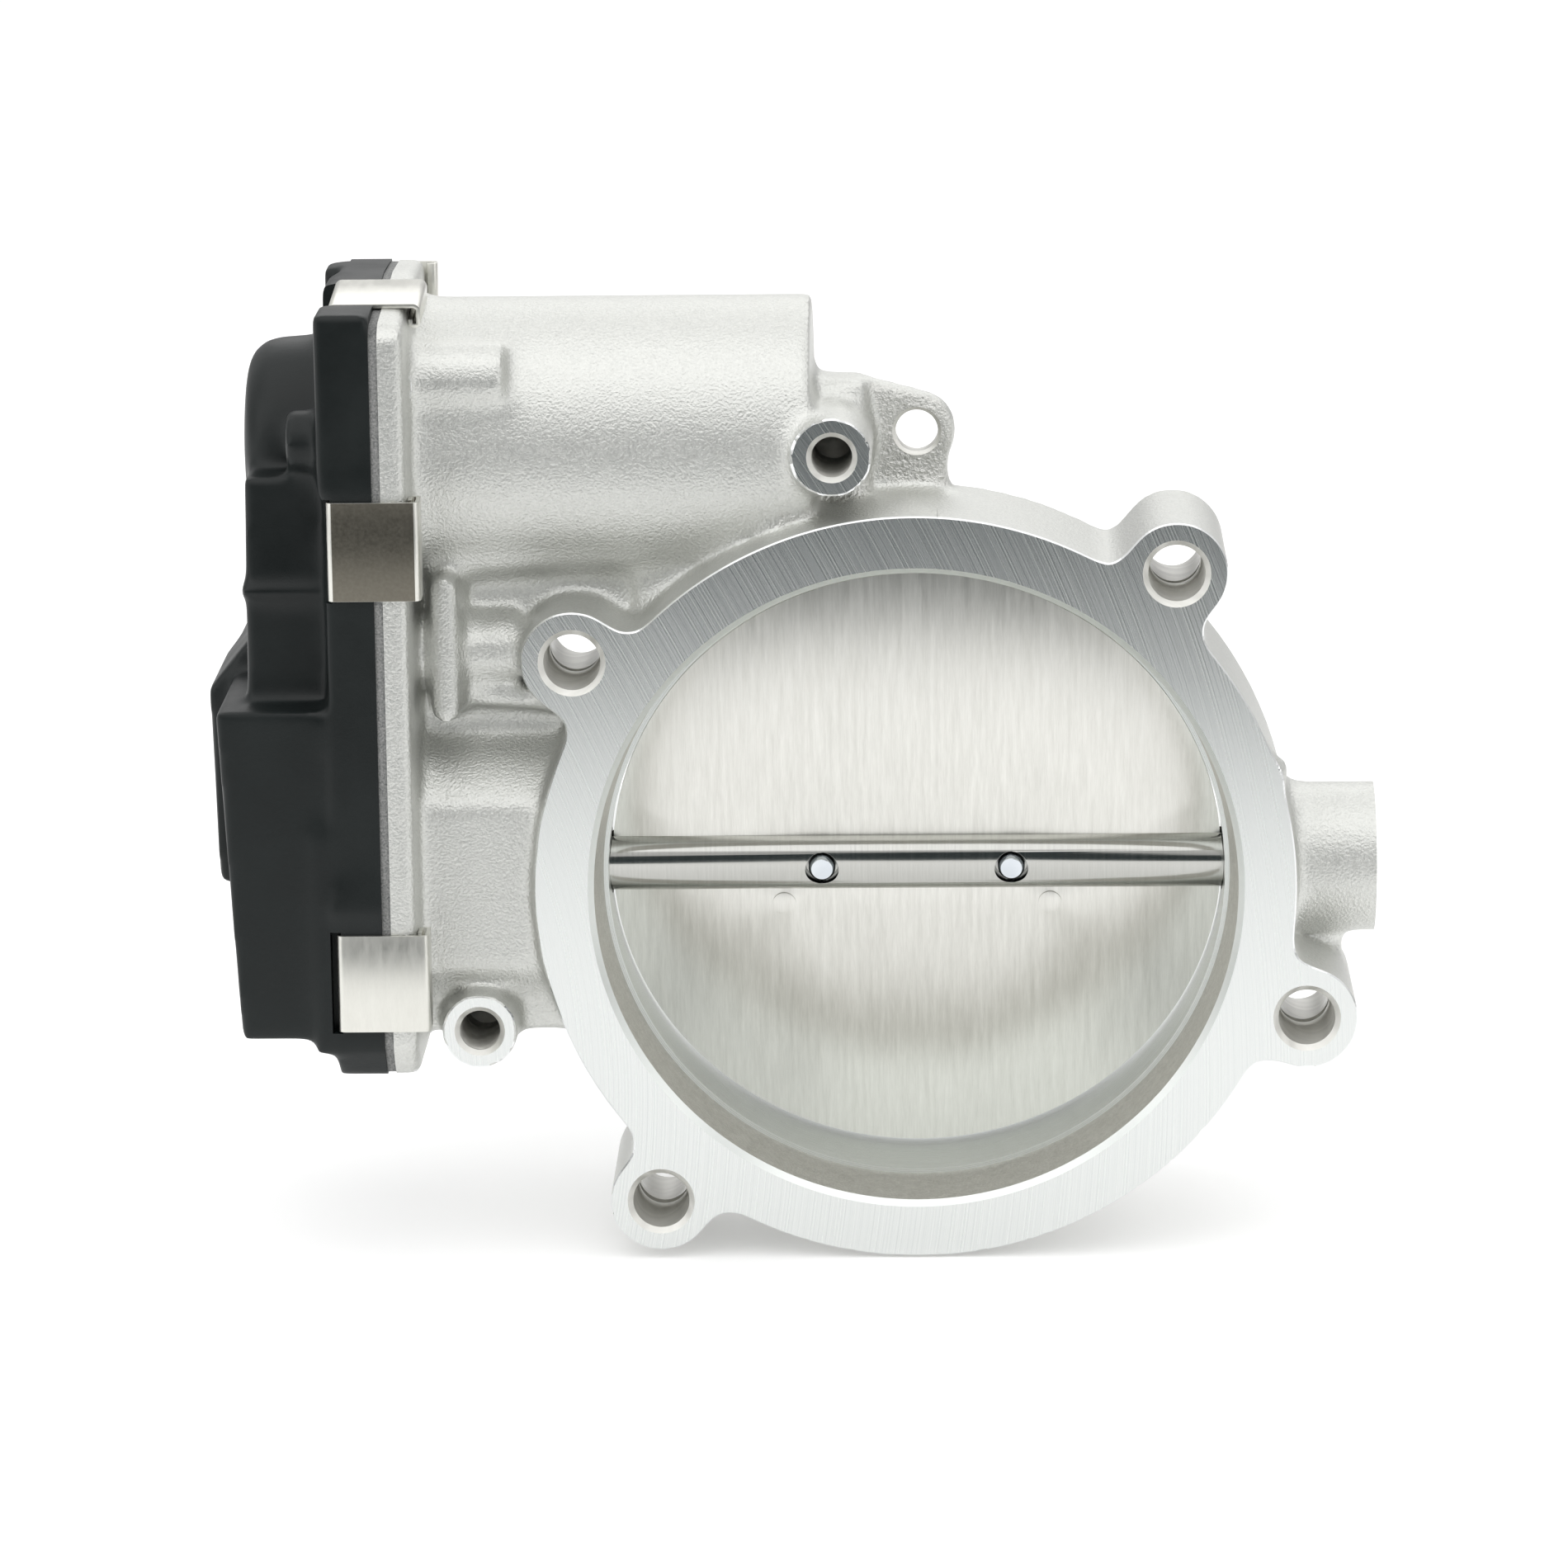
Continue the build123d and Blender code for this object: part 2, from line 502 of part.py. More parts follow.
with BuildPart() as return_spring:
    coil_length = SPRING_PITCH * SPRING_TURNS
    with BuildLine() as coil:
        Helix(
            pitch=SPRING_PITCH, height=coil_length, radius=SPRING_R,
            center=(SPRING_X + coil_length, SHAFT_Y, 0), direction=(-1, 0, 0),
        )
    with BuildSketch(Plane(origin=coil.line @ 0, z_dir=coil.line % 0)):
        Circle(WIRE_R)
    sweep(path=coil.line, is_frenet=True)
    # Leg that hooks onto the sector gear.
    bar_x((SHAFT_Y, -SPRING_R), WIRE_R, SECTOR_X[1], SPRING_X)
return_spring.part.label = "return_spring"
export_step(return_spring.part, "parts/return_spring.step")

with BuildPart() as spring_sleeve:
    tube_x(SHAFT_AXIS, 11.6, 9.6, GEAR_FACE_X + 2.8, WELL_END)
    tube_x(SHAFT_AXIS, 16.6, 9.6, WELL_END - 1.0, WELL_END)
spring_sleeve.part.label = "spring_sleeve"
export_step(spring_sleeve.part, "parts/spring_sleeve.step")

# ============================================================================================
# Intermediate gear and its pin
# ============================================================================================
LARGE_X = (COVER_X - 3.9, GEAR_FACE_X + 0.4)
SMALL_X = (COVER_X - 13.3, LARGE_X[0])
with BuildPart() as intermediate_gear:
    gear_x(PIN_AXIS, LARGE_TEETH, MOTOR_MODULE, drive_angle, *LARGE_X)
    gap_angle = mesh_angle + 180 + 180 / SMALL_TEETH
    gear_x(PIN_AXIS, SMALL_TEETH, SECTOR_MODULE, gap_angle, *SMALL_X)
    # Thinned web of the large wheel.
    with BuildSketch(Plane.YZ.offset(LARGE_X[1])):
        with Locations(PIN_AXIS):
            Circle(LARGE_TIP - 4.2)
            Circle(7.0, mode=Mode.SUBTRACT)
    extrude(amount=-2.0, mode=Mode.SUBTRACT)
    bar_x(PIN_AXIS, PIN_R + RUNNING_GAP, SMALL_X[0] - 1, LARGE_X[1] + 1, mode=Mode.SUBTRACT)
intermediate_gear.part.label = "intermediate_gear"
export_step(intermediate_gear.part, "parts/intermediate_gear.step")

with BuildPart() as intermediate_pin:
    bar_x(PIN_AXIS, PIN_R, COVER_X - 17.0, WELL_END - 1)
    chamfer(intermediate_pin.edges().filter_by(GeomType.CIRCLE), length=0.4)
intermediate_pin.part.label = "intermediate_pin"
export_step(intermediate_pin.part, "parts/intermediate_pin.step")

# ============================================================================================
# Motor
# ============================================================================================
with BuildPart() as motor_can:
    tube_x(MOTOR_AXIS, CAN_R, CAN_R - 1.5, *CAN_X)
    tube_x(MOTOR_AXIS, CAN_R, 5.0, CAN_X[1] - 1.5, CAN_X[1])
    bar_x(MOTOR_AXIS, 6.0, CAN_X[1], CAN_X[1] + 2.4)
    bar_x(MOTOR_AXIS, 5.0, CAN_X[1] - 1.5, CAN_X[1] + 1.2, mode=Mode.SUBTRACT)
motor_can.part.label = "motor_can"
export_step(motor_can.part, "parts/motor_can.step")

MAGNET_HALF = radians(58)
with BuildPart() as motor_magnets:
    for turn in (0, pi):
        with BuildSketch(Plane.YZ.offset(ARMATURE_X[0] - 2)):
            with Locations(MOTOR_AXIS):
                Circle(CAN_R - 1.5)
                Circle(ARMATURE_R + 0.6, mode=Mode.SUBTRACT)
            with BuildLine():
                Polyline(
                    MOTOR_AXIS,
                    (MOTOR_Y + 40 * cos(turn - MAGNET_HALF), MOTOR_Z + 40 * sin(turn - MAGNET_HALF)),
                    (MOTOR_Y + 40 * cos(turn + MAGNET_HALF), MOTOR_Z + 40 * sin(turn + MAGNET_HALF)),
                    close=True,
                )
            make_face(mode=Mode.INTERSECT)
        extrude(amount=ARMATURE_X[1] - ARMATURE_X[0] + 4)
motor_magnets.part.label = "motor_magnets"
export_step(motor_magnets.part, "parts/motor_magnets.step")

with BuildPart() as motor_end_cap:
    tube_x(MOTOR_AXIS, CAN_R, 6.0, CAP_X, CAN_X[0])
    with BuildSketch(Plane.YZ.offset(CAP_X)):
        with Locations(MOTOR_AXIS):
            with GridLocations(2 * (CAN_R - 3.4), 0, 2, 1):
                RectangleRounded(6.6, 9.0, 1.0)
    extrude(amount=-0.9)
    with BuildSketch(Plane.YZ.offset(CAP_X - 5)):
        with Locations(MOTOR_AXIS):
            with GridLocations(2 * (CAN_R - 3.4), 0, 2, 1):
                Circle(1.6)
    extrude(amount=CAN_X[0] - CAP_X + 5, mode=Mode.SUBTRACT)
motor_end_cap.part.label = "motor_end_cap"
export_step(motor_end_cap.part, "parts/motor_end_cap.step")

with BuildPart() as motor_bushings:
    tube_x(MOTOR_AXIS, 6.0, MOTOR_SHAFT_R + RUNNING_GAP, CAP_X, CAN_X[0])
    tube_x(MOTOR_AXIS, 5.0, MOTOR_SHAFT_R + RUNNING_GAP, CAN_X[1] - 1.5, CAN_X[1] + 1.2)
motor_bushings.part.label = "motor_bushings"
export_step(motor_bushings.part, "parts/motor_bushings.step")

with BuildPart() as motor_shaft:
    bar_x(MOTOR_AXIS, MOTOR_SHAFT_R, GEAR_FACE_X - 7.4, CAN_X[1] + 0.8)
motor_shaft.part.label = "motor_shaft"
export_step(motor_shaft.part, "parts/motor_shaft.step")

with BuildPart() as armature:
    tube_x(MOTOR_AXIS, ARMATURE_R, MOTOR_SHAFT_R, *ARMATURE_X)
    with BuildSketch(Plane.YZ.offset(ARMATURE_X[0])):
        with Locations(MOTOR_AXIS):
            with PolarLocations(ARMATURE_R - 1.6, 7):
                Rectangle(4.0, 1.6)
    extrude(amount=ARMATURE_X[1] - ARMATURE_X[0], mode=Mode.SUBTRACT)
armature.part.label = "armature"
export_step(armature.part, "parts/armature.step")

with BuildPart() as windings:
    for end, reach in zip(ARMATURE_X, (-3, 3)):
        tube_x(MOTOR_AXIS, ARMATURE_R - 2.2, MOTOR_SHAFT_R, *sorted((end, end + reach)))
windings.part.label = "windings"
export_step(windings.part, "parts/windings.step")

with BuildPart() as commutator:
    tube_x(MOTOR_AXIS, 5.4, MOTOR_SHAFT_R, CAN_X[0] + 3, ARMATURE_X[0] - 3)
    with BuildSketch(Plane.YZ.offset(CAN_X[0] + 3)):
        with Locations(MOTOR_AXIS):
            with PolarLocations(5.2, 7):
                Rectangle(1.2, 0.4)
    extrude(amount=ARMATURE_X[0] - CAN_X[0] - 6, mode=Mode.SUBTRACT)
commutator.part.label = "commutator"
export_step(commutator.part, "parts/commutator.step")

with BuildPart() as motor_pinion:
    pinion_gap = drive_angle + 180 + 180 / PINION_TEETH
    gear_x(MOTOR_AXIS, PINION_TEETH, MOTOR_MODULE, pinion_gap, LARGE_X[0] - 0.4, LARGE_X[1] - 0.2)
    bar_x(MOTOR_AXIS, MOTOR_SHAFT_R, LARGE_X[0] - 1, LARGE_X[1], mode=Mode.SUBTRACT)
motor_pinion.part.label = "motor_pinion"
export_step(motor_pinion.part, "parts/motor_pinion.step")

with BuildPart() as motor_screws:
    for side in (-1, 1):
        centre = (MOTOR_Y + side * (CAN_R - 3.4), MOTOR_Z)
        bar_x(centre, 1.5, CAP_X - 0.9, CAN_X[0] - 0.3)
        bar_x(centre, 2.8, CAP_X - 2.2, CAP_X - 0.9)
        with BuildSketch(Plane.YZ.offset(CAP_X - 2.2)):
            with Locations(centre):
                Rectangle(3.6, 0.8)
                Rectangle(0.8, 3.6)
        extrude(amount=0.7, mode=Mode.SUBTRACT)
motor_screws.part.label = "motor_screws"
export_step(motor_screws.part, "parts/motor_screws.step")

with BuildPart() as wave_washer:
    tube_x(MOTOR_AXIS, CAN_R - 1.5, CAN_R - 5.5, CAN_X[1] + 0.6, CHAMBER_END - 3.2)
wave_washer.part.label = "wave_washer"
export_step(wave_washer.part, "parts/wave_washer.step")

# ============================================================================================
# Cover, gasket, clips, sensor and connector
# ============================================================================================
with BuildPart() as cover_gasket:
    box_plate(0.3, COVER_X, GEAR_FACE_X)
    gear_hollow(COVER_X, GEAR_FACE_X)
cover_gasket.part.label = "cover_gasket"
export_step(cover_gasket.part, "parts/cover_gasket.step")

SOCKET_Y = (BOX_BACK + 2.0, BOX_BACK + 16.0)
SOCKET_MIDDLE = (-94.5, 16.0)
SOCKET_SIZE = (20.0, 30.0)
with BuildPart() as gear_cover:
    # Rim that meets the gasket.
    box_plate(0, RIM_X, COVER_X)
    # Upper block, with a raised drum in line with the motor.
    block((UPPER_X + 0.6, RIM_X), (2.0, BOX_BACK - 6.0), (26.0, 62.0))
    bar_x(MOTOR_AXIS, 15.2, UPPER_X, RIM_X)
    # Lower block over the sector gear, narrowing towards the bottom.
    with BuildSketch(Plane.XZ.offset(-BOX_FRONT)):
        with BuildLine():
            Polyline(
                (RIM_X + 0.5, 27.6), (LOWER_X, 27.6), (LOWER_X + 1.6, -21.6),
                (RIM_X + 0.5, -21.6), close=True,
            )
        make_face()
    extrude(amount=BOX_FRONT - BOX_BACK + 1.0)
    fillet(
        gear_cover.edges().filter_by(Axis.Y).filter_by(lambda e: e.center().X < RIM_X - 5),
        radius=1.5,
    )
    # Shoulder, bosses and ribs moulded on the front.
    block((RIM_X - 1.5, COVER_X), (BOX_FRONT, 12), (60.8, 83.0))
    bar_x((4.5, MOTOR_Z + 1.2), 4.6, RIM_X - 6.0, RIM_X)
    block((RIM_X - 2.4, RIM_X), (BOX_FRONT, 30), (-25.2, 10.0))
    block((RIM_X - 1.0, COVER_X - 0.4), (BOX_FRONT - 0.8, 4), (-3.6, 3.2))
    # Shoulder at the back of the top edge.
    block((RIM_X - 2.6, COVER_X), (BOX_BACK - 12.0, BOX_BACK - 4.4), (78.0, 88.0))
    # Connector block and its shroud.
    with BuildSketch(Plane.XZ.offset(-24.0)):
        with BuildLine():
            Polyline(
                (RIM_X, -6.0), (-105.6, -4.0), (-106.4, 26.0), (UPPER_X, 35.0), (RIM_X, 35.0),
                close=True,
            )
        make_face()
    extrude(amount=24.0 - SOCKET_Y[0])
    with BuildSketch(Plane.XZ.offset(-SOCKET_Y[0])):
        with Locations(SOCKET_MIDDLE):
            RectangleRounded(*SOCKET_SIZE, 4.0)
            RectangleRounded(SOCKET_SIZE[0] - 4, SOCKET_SIZE[1] - 4, 2.5, mode=Mode.SUBTRACT)
    extrude(amount=SOCKET_Y[0] - SOCKET_Y[1])
    # Keying ribs outside the shroud.
    for z in (SOCKET_MIDDLE[1] - 6, SOCKET_MIDDLE[1] + 6):
        block((SOCKET_MIDDLE[0] + 9.5, SOCKET_MIDDLE[0] + 11.5), (SOCKET_Y[0] + 3, SOCKET_Y[1] - 2),
              (z - 1, z + 1))

    # Hollow inside: rim, room for the small gear and sector, motor drum.
    gear_hollow(RIM_X + COVER_WALL, COVER_X)
    block((UPPER_X + 2.6, RIM_X + 2.5), (4.2, BOX_BACK - 8.2), (10.0, 60.0), mode=Mode.SUBTRACT)
    bar_x(MOTOR_AXIS, 13.0, UPPER_X + 2.2, RIM_X + 2.5, mode=Mode.SUBTRACT)
    block((LOWER_X + 3.5, RIM_X + 2.5), (1.4, BOX_BACK - 3.0), (-19.4, 25.6), mode=Mode.SUBTRACT)
    with BuildSketch(Plane.YZ.offset(SECTOR_X[0] - 1.0)):
        with Locations(SHAFT_AXIS):
            Circle(SECTOR_TIP + 0.5)
            with Locations((0, -SECTOR_TIP - 1.5)):
                Rectangle(3 * SECTOR_TIP, 2 * SECTOR_TIP, mode=Mode.SUBTRACT)
    extrude(amount=RIM_X + 2.5 - SECTOR_X[0] + 1.0, mode=Mode.SUBTRACT)
    # Socket for the intermediate pin.
    tube_x(PIN_AXIS, 5.6, PIN_R, COVER_X - 17.4, COVER_X - 14.2)
    block((UPPER_X + 2.0, COVER_X - 17.4), (PIN_Y - 5, PIN_Y + 5), (PIN_Z - 5, PIN_Z + 5))
    # Pocket for each clip's outer leg.
    for z in FRONT_CLIP_Z:
        block((RIM_X - 3, CLIP_POCKET_X), (BOX_FRONT - 2, BOX_FRONT + CLIP_REACH),
              (z - CLIP_W / 2 - 0.4, z + CLIP_W / 2 + 0.4), mode=Mode.SUBTRACT)
    for z in BACK_CLIP_Z:
        block((RIM_X - 3, CLIP_POCKET_X), (BOX_BACK - CLIP_REACH, BOX_BACK + 20),
              (z - CLIP_W / 2 - 0.4, z + CLIP_W / 2 + 0.4), mode=Mode.SUBTRACT)
    block((RIM_X - 3, CLIP_POCKET_X), (TOP_CLIP_Y - CLIP_W / 2 - 0.4, TOP_CLIP_Y + CLIP_W / 2 + 0.4),
          (BOX_TOP - CLIP_REACH - 2.6, BOX_TOP + 2), mode=Mode.SUBTRACT)
    block((RIM_X - 3, CLIP_POCKET_X), (BOX_BACK - 4.0 - CLIP_REACH, BOX_BACK),
          (TOP_BACK_CLIP_Z - SHORT_CLIP_W / 2 - 0.4, BOX_TOP + 2), mode=Mode.SUBTRACT)
gear_cover.part.label = "gear_cover"
export_step(gear_cover.part, "parts/gear_cover.step")

with BuildPart() as cover_clips:
    # Two on the front, one on the sloping top edge, three on the back.
    for z in FRONT_CLIP_Z:
        clip((0, 0, -1), (0, BOX_FRONT, z), CLIP_W, 5.0)
    for z in BACK_CLIP_Z:
        clip((0, 0, 1), (0, BOX_BACK, z), CLIP_W, 5.0)
    slope = atan2(3.0, BOX_BACK - 20.0 - (BOX_FRONT + 2.0))
    top_z = BOX_TOP - (BOX_BACK - 20.0 - TOP_CLIP_Y) * tan(slope)
    clip((0, -cos(slope), -sin(slope)), (0, TOP_CLIP_Y, top_z), CLIP_W, 2.9)
    clip((0, 0, 1), (0, BOX_BACK - 4.0, TOP_BACK_CLIP_Z), SHORT_CLIP_W, 2.2)
cover_clips.part.label = "cover_clips"
export_step(cover_clips.part, "parts/cover_clips.step")

with BuildPart() as sensor_board:
    block((LOWER_X + 3.5, LOWER_X + 4.7), (SHAFT_Y - 10, SHAFT_Y + 12), (-9, 9))
sensor_board.part.label = "sensor_board"
export_step(sensor_board.part, "parts/sensor_board.step")

with BuildPart() as sensor_chip:
    block((LOWER_X + 4.7, LOWER_X + 6.0), (SHAFT_Y - 3, SHAFT_Y + 3), (-3, 3))
    for side in (-1, 1):
        for z in (-2, 0, 2):
            block((LOWER_X + 4.7, LOWER_X + 5.0), (SHAFT_Y + side * 3, SHAFT_Y + side * 4.2),
                  (z - 0.25, z + 0.25))
sensor_chip.part.label = "sensor_chip"
export_step(sensor_chip.part, "parts/sensor_chip.step")

with BuildPart() as connector_pins:
    with BuildSketch(Plane.XZ.offset(-SOCKET_Y[0])):
        with Locations(SOCKET_MIDDLE):
            with GridLocations(0, 4.0, 1, 6):
                Rectangle(2.0, 0.64)
    extrude(amount=SOCKET_Y[0] - SOCKET_Y[1] + 5.0)
connector_pins.part.label = "connector_pins"
export_step(connector_pins.part, "parts/connector_pins.step")

with BuildPart() as motor_terminals:
    for side in (-1, 1):
        block((RIM_X + 0.8, CAP_X), (MOTOR_Y + side * 3.0, MOTOR_Y + side * 5.8),
              (MOTOR_Z + 10.6, MOTOR_Z + 11.4))
motor_terminals.part.label = "motor_terminals"
export_step(motor_terminals.part, "parts/motor_terminals.step")
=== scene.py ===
# %% [markdown]
# # Electronic throttle body
# This lesson dresses a finished engineering model of a throttle body: a cast aluminium housing,
# a butterfly plate on a polished shaft, a moulded side cover, and the sheet metal clips that
# hold it. The engineering model is the frame. Nothing in it is moved or resized: a part either
# keeps its own mesh and gets a better finish, or a more detailed piece stands in its place.

# %% Load the frame
import json
import math

import bmesh
import bpy
import numpy as np
from mathutils import Matrix, Vector


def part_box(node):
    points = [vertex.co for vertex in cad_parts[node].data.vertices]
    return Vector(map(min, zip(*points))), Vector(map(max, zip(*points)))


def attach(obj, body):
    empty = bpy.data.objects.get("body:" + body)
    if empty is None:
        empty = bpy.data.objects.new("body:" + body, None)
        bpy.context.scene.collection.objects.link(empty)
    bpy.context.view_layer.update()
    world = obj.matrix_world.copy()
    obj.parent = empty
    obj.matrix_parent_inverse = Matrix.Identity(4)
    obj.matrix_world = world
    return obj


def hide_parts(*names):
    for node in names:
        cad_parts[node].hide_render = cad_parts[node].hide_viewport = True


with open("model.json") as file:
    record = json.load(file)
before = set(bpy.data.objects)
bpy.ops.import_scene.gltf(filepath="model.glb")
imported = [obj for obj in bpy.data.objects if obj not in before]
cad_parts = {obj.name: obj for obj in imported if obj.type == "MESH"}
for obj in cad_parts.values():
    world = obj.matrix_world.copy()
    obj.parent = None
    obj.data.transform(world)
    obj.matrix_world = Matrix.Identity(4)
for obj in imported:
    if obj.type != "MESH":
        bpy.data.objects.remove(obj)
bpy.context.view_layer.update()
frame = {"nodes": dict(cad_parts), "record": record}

MM = 0.001
mounts = {m["name"]: m for m in frame["record"]["mounts"]}

# %% [markdown]
# ## Sizes read from the frame
# The bore, shaft and motor axes are needed again and again, so they are read once. Lengths are
# kept in millimetres while a mesh is being made, because that is how the part is drawn, and
# are turned into Blender's metres at the last moment.

# %% Axes and faces
def limits(node):
    """Lowest and highest corner of a node, in millimetres."""
    low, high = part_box(node)
    return np.array(low) / MM, np.array(high) / MM


def middle(node):
    low, high = limits(node)
    return (low + high) / 2


def mount_at(name):
    return np.array(mounts[name]["pos_m"]) / MM


shaft_y, shaft_z = middle("throttle_shaft")[1:]
motor_y, motor_z = middle("motor_shaft")[1:]
pin_y, pin_z = middle("intermediate_pin")[1:]
housing_low, housing_high = limits("throttle_housing")
gear_face = limits("cover_gasket")[1][0]
bolt_holes = [mount_at(f"flange_bolt_{n}") for n in (1, 2, 3, 4)]
BOLT_R = mounts["flange_bolt_1"]["dims"]["r_mm"]
THREAD_R = mounts["threaded_boss_top"]["dims"]["r_mm"]
LUG_R = mounts["bracket_hole"]["dims"]["r_mm"]
SNOUT_R = mounts["inlet_snout"]["dims"]["r_mm"]
BORE_R = SNOUT_R - 2.8  # the snout's wall at its turned band
top_boss, low_boss, lug_hole = (
    mount_at(n) for n in ("threaded_boss_top", "threaded_boss_low", "bracket_hole")
)
print("bore radius", BORE_R, "shaft at", shaft_y, shaft_z, "motor at", motor_y, motor_z)

# %% [markdown]
# ## Small mesh makers
# Three shapes make almost every solid and every cutter here: a turned shape, a block, and an
# outline pushed along an axis. A turned shape is a list of (distance along the axis, radius)
# pairs spun round it, as on a lathe.

# %% Mesh makers
AXES = {"X": (0, 1, 2), "Y": (1, 0, 2), "Z": (2, 0, 1)}


def into_scene(thing):
    bpy.context.scene.collection.objects.link(thing)


def new_piece(name, points, faces):
    """Object from points in millimetres."""
    mesh = bpy.data.meshes.new(name)
    mesh.from_pydata([Vector(p) * MM for p in points], [], faces)
    bm = bmesh.new()
    bm.from_mesh(mesh)
    bmesh.ops.remove_doubles(bm, verts=bm.verts, dist=1e-7)
    bmesh.ops.recalc_face_normals(bm, faces=bm.faces)
    bm.to_mesh(mesh)
    bm.free()
    piece = bpy.data.objects.new(name, mesh)
    into_scene(piece)
    return piece


def turned(axis, centre, profile, segments=64):
    """Solid of revolution; profile is [(along, radius), ...] from one end to the other."""
    a, b, c = AXES[axis]
    points, faces = [], []
    for along, radius in profile:
        for i in range(segments):
            turn = 2 * math.pi * i / segments
            p = [0.0, 0.0, 0.0]
            p[a] = along
            p[b] = centre[0] + radius * math.cos(turn)
            p[c] = centre[1] + radius * math.sin(turn)
            points.append(p)
    for ring in range(len(profile) - 1):
        for i in range(segments):
            j = (i + 1) % segments
            lower, upper = ring * segments, (ring + 1) * segments
            faces.append((lower + i, lower + j, upper + j, upper + i))
    faces.append(tuple(range(segments)))
    faces.append(tuple(range(len(points) - segments, len(points))))
    return new_piece("turned", points, faces)


def bar(axis, centre, radius, start, end, segments=64):
    return turned(axis, centre, [(start, radius), (end, radius)], segments)


def pushed(axis, outline, start, end):
    """Outline of (u, v) points pushed along an axis."""
    a, b, c = AXES[axis]
    points = []
    for along in (start, end):
        for u, v in outline:
            p = [0.0, 0.0, 0.0]
            p[a], p[b], p[c] = along, u, v
            points.append(p)
    n = len(outline)
    faces = [(i, (i + 1) % n, n + (i + 1) % n, n + i) for i in range(n)]
    faces += [tuple(range(n)), tuple(range(n, 2 * n))]
    return new_piece("pushed", points, faces)


def block(x, y, z):
    return pushed("X", [(y[0], z[0]), (y[1], z[0]), (y[1], z[1]), (y[0], z[1])], *x)


def cad_copy(node, name):
    """Copy of a CAD node's mesh with its split corners joined again."""
    mesh = frame["nodes"][node].data
    points = np.empty(len(mesh.vertices) * 3)
    mesh.vertices.foreach_get("co", points)
    faces = [tuple(f.vertices) for f in mesh.polygons]
    return new_piece(name, points.reshape(-1, 3) / MM, faces)


def join(name, pieces):
    """One object from several; overlaps stay, for a remesh or a boolean to settle."""
    bm = bmesh.new()
    for piece in pieces:
        bm.from_mesh(piece.data)
        bpy.data.objects.remove(piece)
    mesh = bpy.data.meshes.new(name)
    bm.to_mesh(mesh)
    bm.free()
    whole = bpy.data.objects.new(name, mesh)
    into_scene(whole)
    return whole


def bake_modifiers(piece):
    """Keeps the shape that the modifiers make, and drops the modifiers."""
    graph = bpy.context.evaluated_depsgraph_get()
    mesh = bpy.data.meshes.new_from_object(piece.evaluated_get(graph))
    piece.modifiers.clear()
    piece.data = mesh
    return piece


def carve(piece, cutters):
    """Takes each cutter away from the piece."""
    for cutter in cutters:
        cut = piece.modifiers.new("Cut", "BOOLEAN")
        cut.operation, cut.solver, cut.object = "DIFFERENCE", "MANIFOLD", cutter
        bake_modifiers(piece)
        bpy.data.objects.remove(cutter)
    return piece


# %% [markdown]
# ## Turning a drawn solid into a casting
# A casting has no sharp inside corners: metal has to flow round them, so every root is
# a fillet, and every outer edge that is not machined is rounded. The drawn solid has neither.
# A voxel remesh first turns it into one even skin. Then two kinds of smoothing run on that
# skin: a little of the ordinary kind rounds the outer edges, and a one-sided kind, which only
# ever moves a point outward, fills the inside corners. At last the flat skin is thinned.

# %% Casting tools
def edge_array(mesh):
    edges = np.empty(len(mesh.edges) * 2, np.int64)
    mesh.edges.foreach_get("vertices", edges)
    return edges.reshape(-1, 2)


def neighbour_mean(points, edges):
    count = np.bincount(edges.ravel(), minlength=len(points))
    total = np.empty_like(points)
    for k in range(3):
        total[:, k] = np.bincount(edges[:, 0], points[edges[:, 1], k], len(points))
        total[:, k] += np.bincount(edges[:, 1], points[edges[:, 0], k], len(points))
    return total / np.maximum(count, 1)[:, None]


def vertex_normals(mesh):
    normals = np.empty(len(mesh.vertices) * 3)
    mesh.vertex_normals.foreach_get("vector", normals)
    return normals.reshape(-1, 3)


def cast_skin(piece, voxel, edge_steps, root_steps, keep):
    """Remeshes, rounds the edges, fills the roots, and thins the mesh to the share kept."""
    remesh = piece.modifiers.new("Skin", "REMESH")
    remesh.mode, remesh.voxel_size = "VOXEL", voxel * MM
    bake_modifiers(piece)
    mesh = piece.data
    edges = edge_array(mesh)
    points = np.empty(len(mesh.vertices) * 3)
    mesh.vertices.foreach_get("co", points)
    points = points.reshape(-1, 3)
    for step in range(root_steps):
        shift = neighbour_mean(points, edges) - points
        if step % 4 == 0:
            mesh.vertices.foreach_set("co", points.ravel())
            mesh.update()
            normals = vertex_normals(mesh)
        outward = np.einsum("ij,ij->i", shift, normals)
        points += 0.6 * np.maximum(outward, 0)[:, None] * normals
    for _ in range(edge_steps):
        points += 0.5 * (neighbour_mean(points, edges) - points)
    mesh.vertices.foreach_set("co", points.ravel())
    mesh.update()
    thin = piece.modifiers.new("Thin", "DECIMATE")
    thin.ratio = keep
    bake_modifiers(piece)
    print(piece.name, "skin:", len(edges), "edges, kept", len(piece.data.polygons), "faces")
    return piece


# %% [markdown]
# ## The housing
# The real housing is one aluminium die casting, then machined only where it has to be: the
# manifold face, the bore, the bolt holes, the two threaded bosses and the joint with the cover.
# The lesson follows that order. First the drawn solid is closed up, with every hole
# filled and the faces that will be machined left too long. That blank becomes a casting. Then
# cutters take it back to size, so that their edges stay crisp against the soft cast skin.

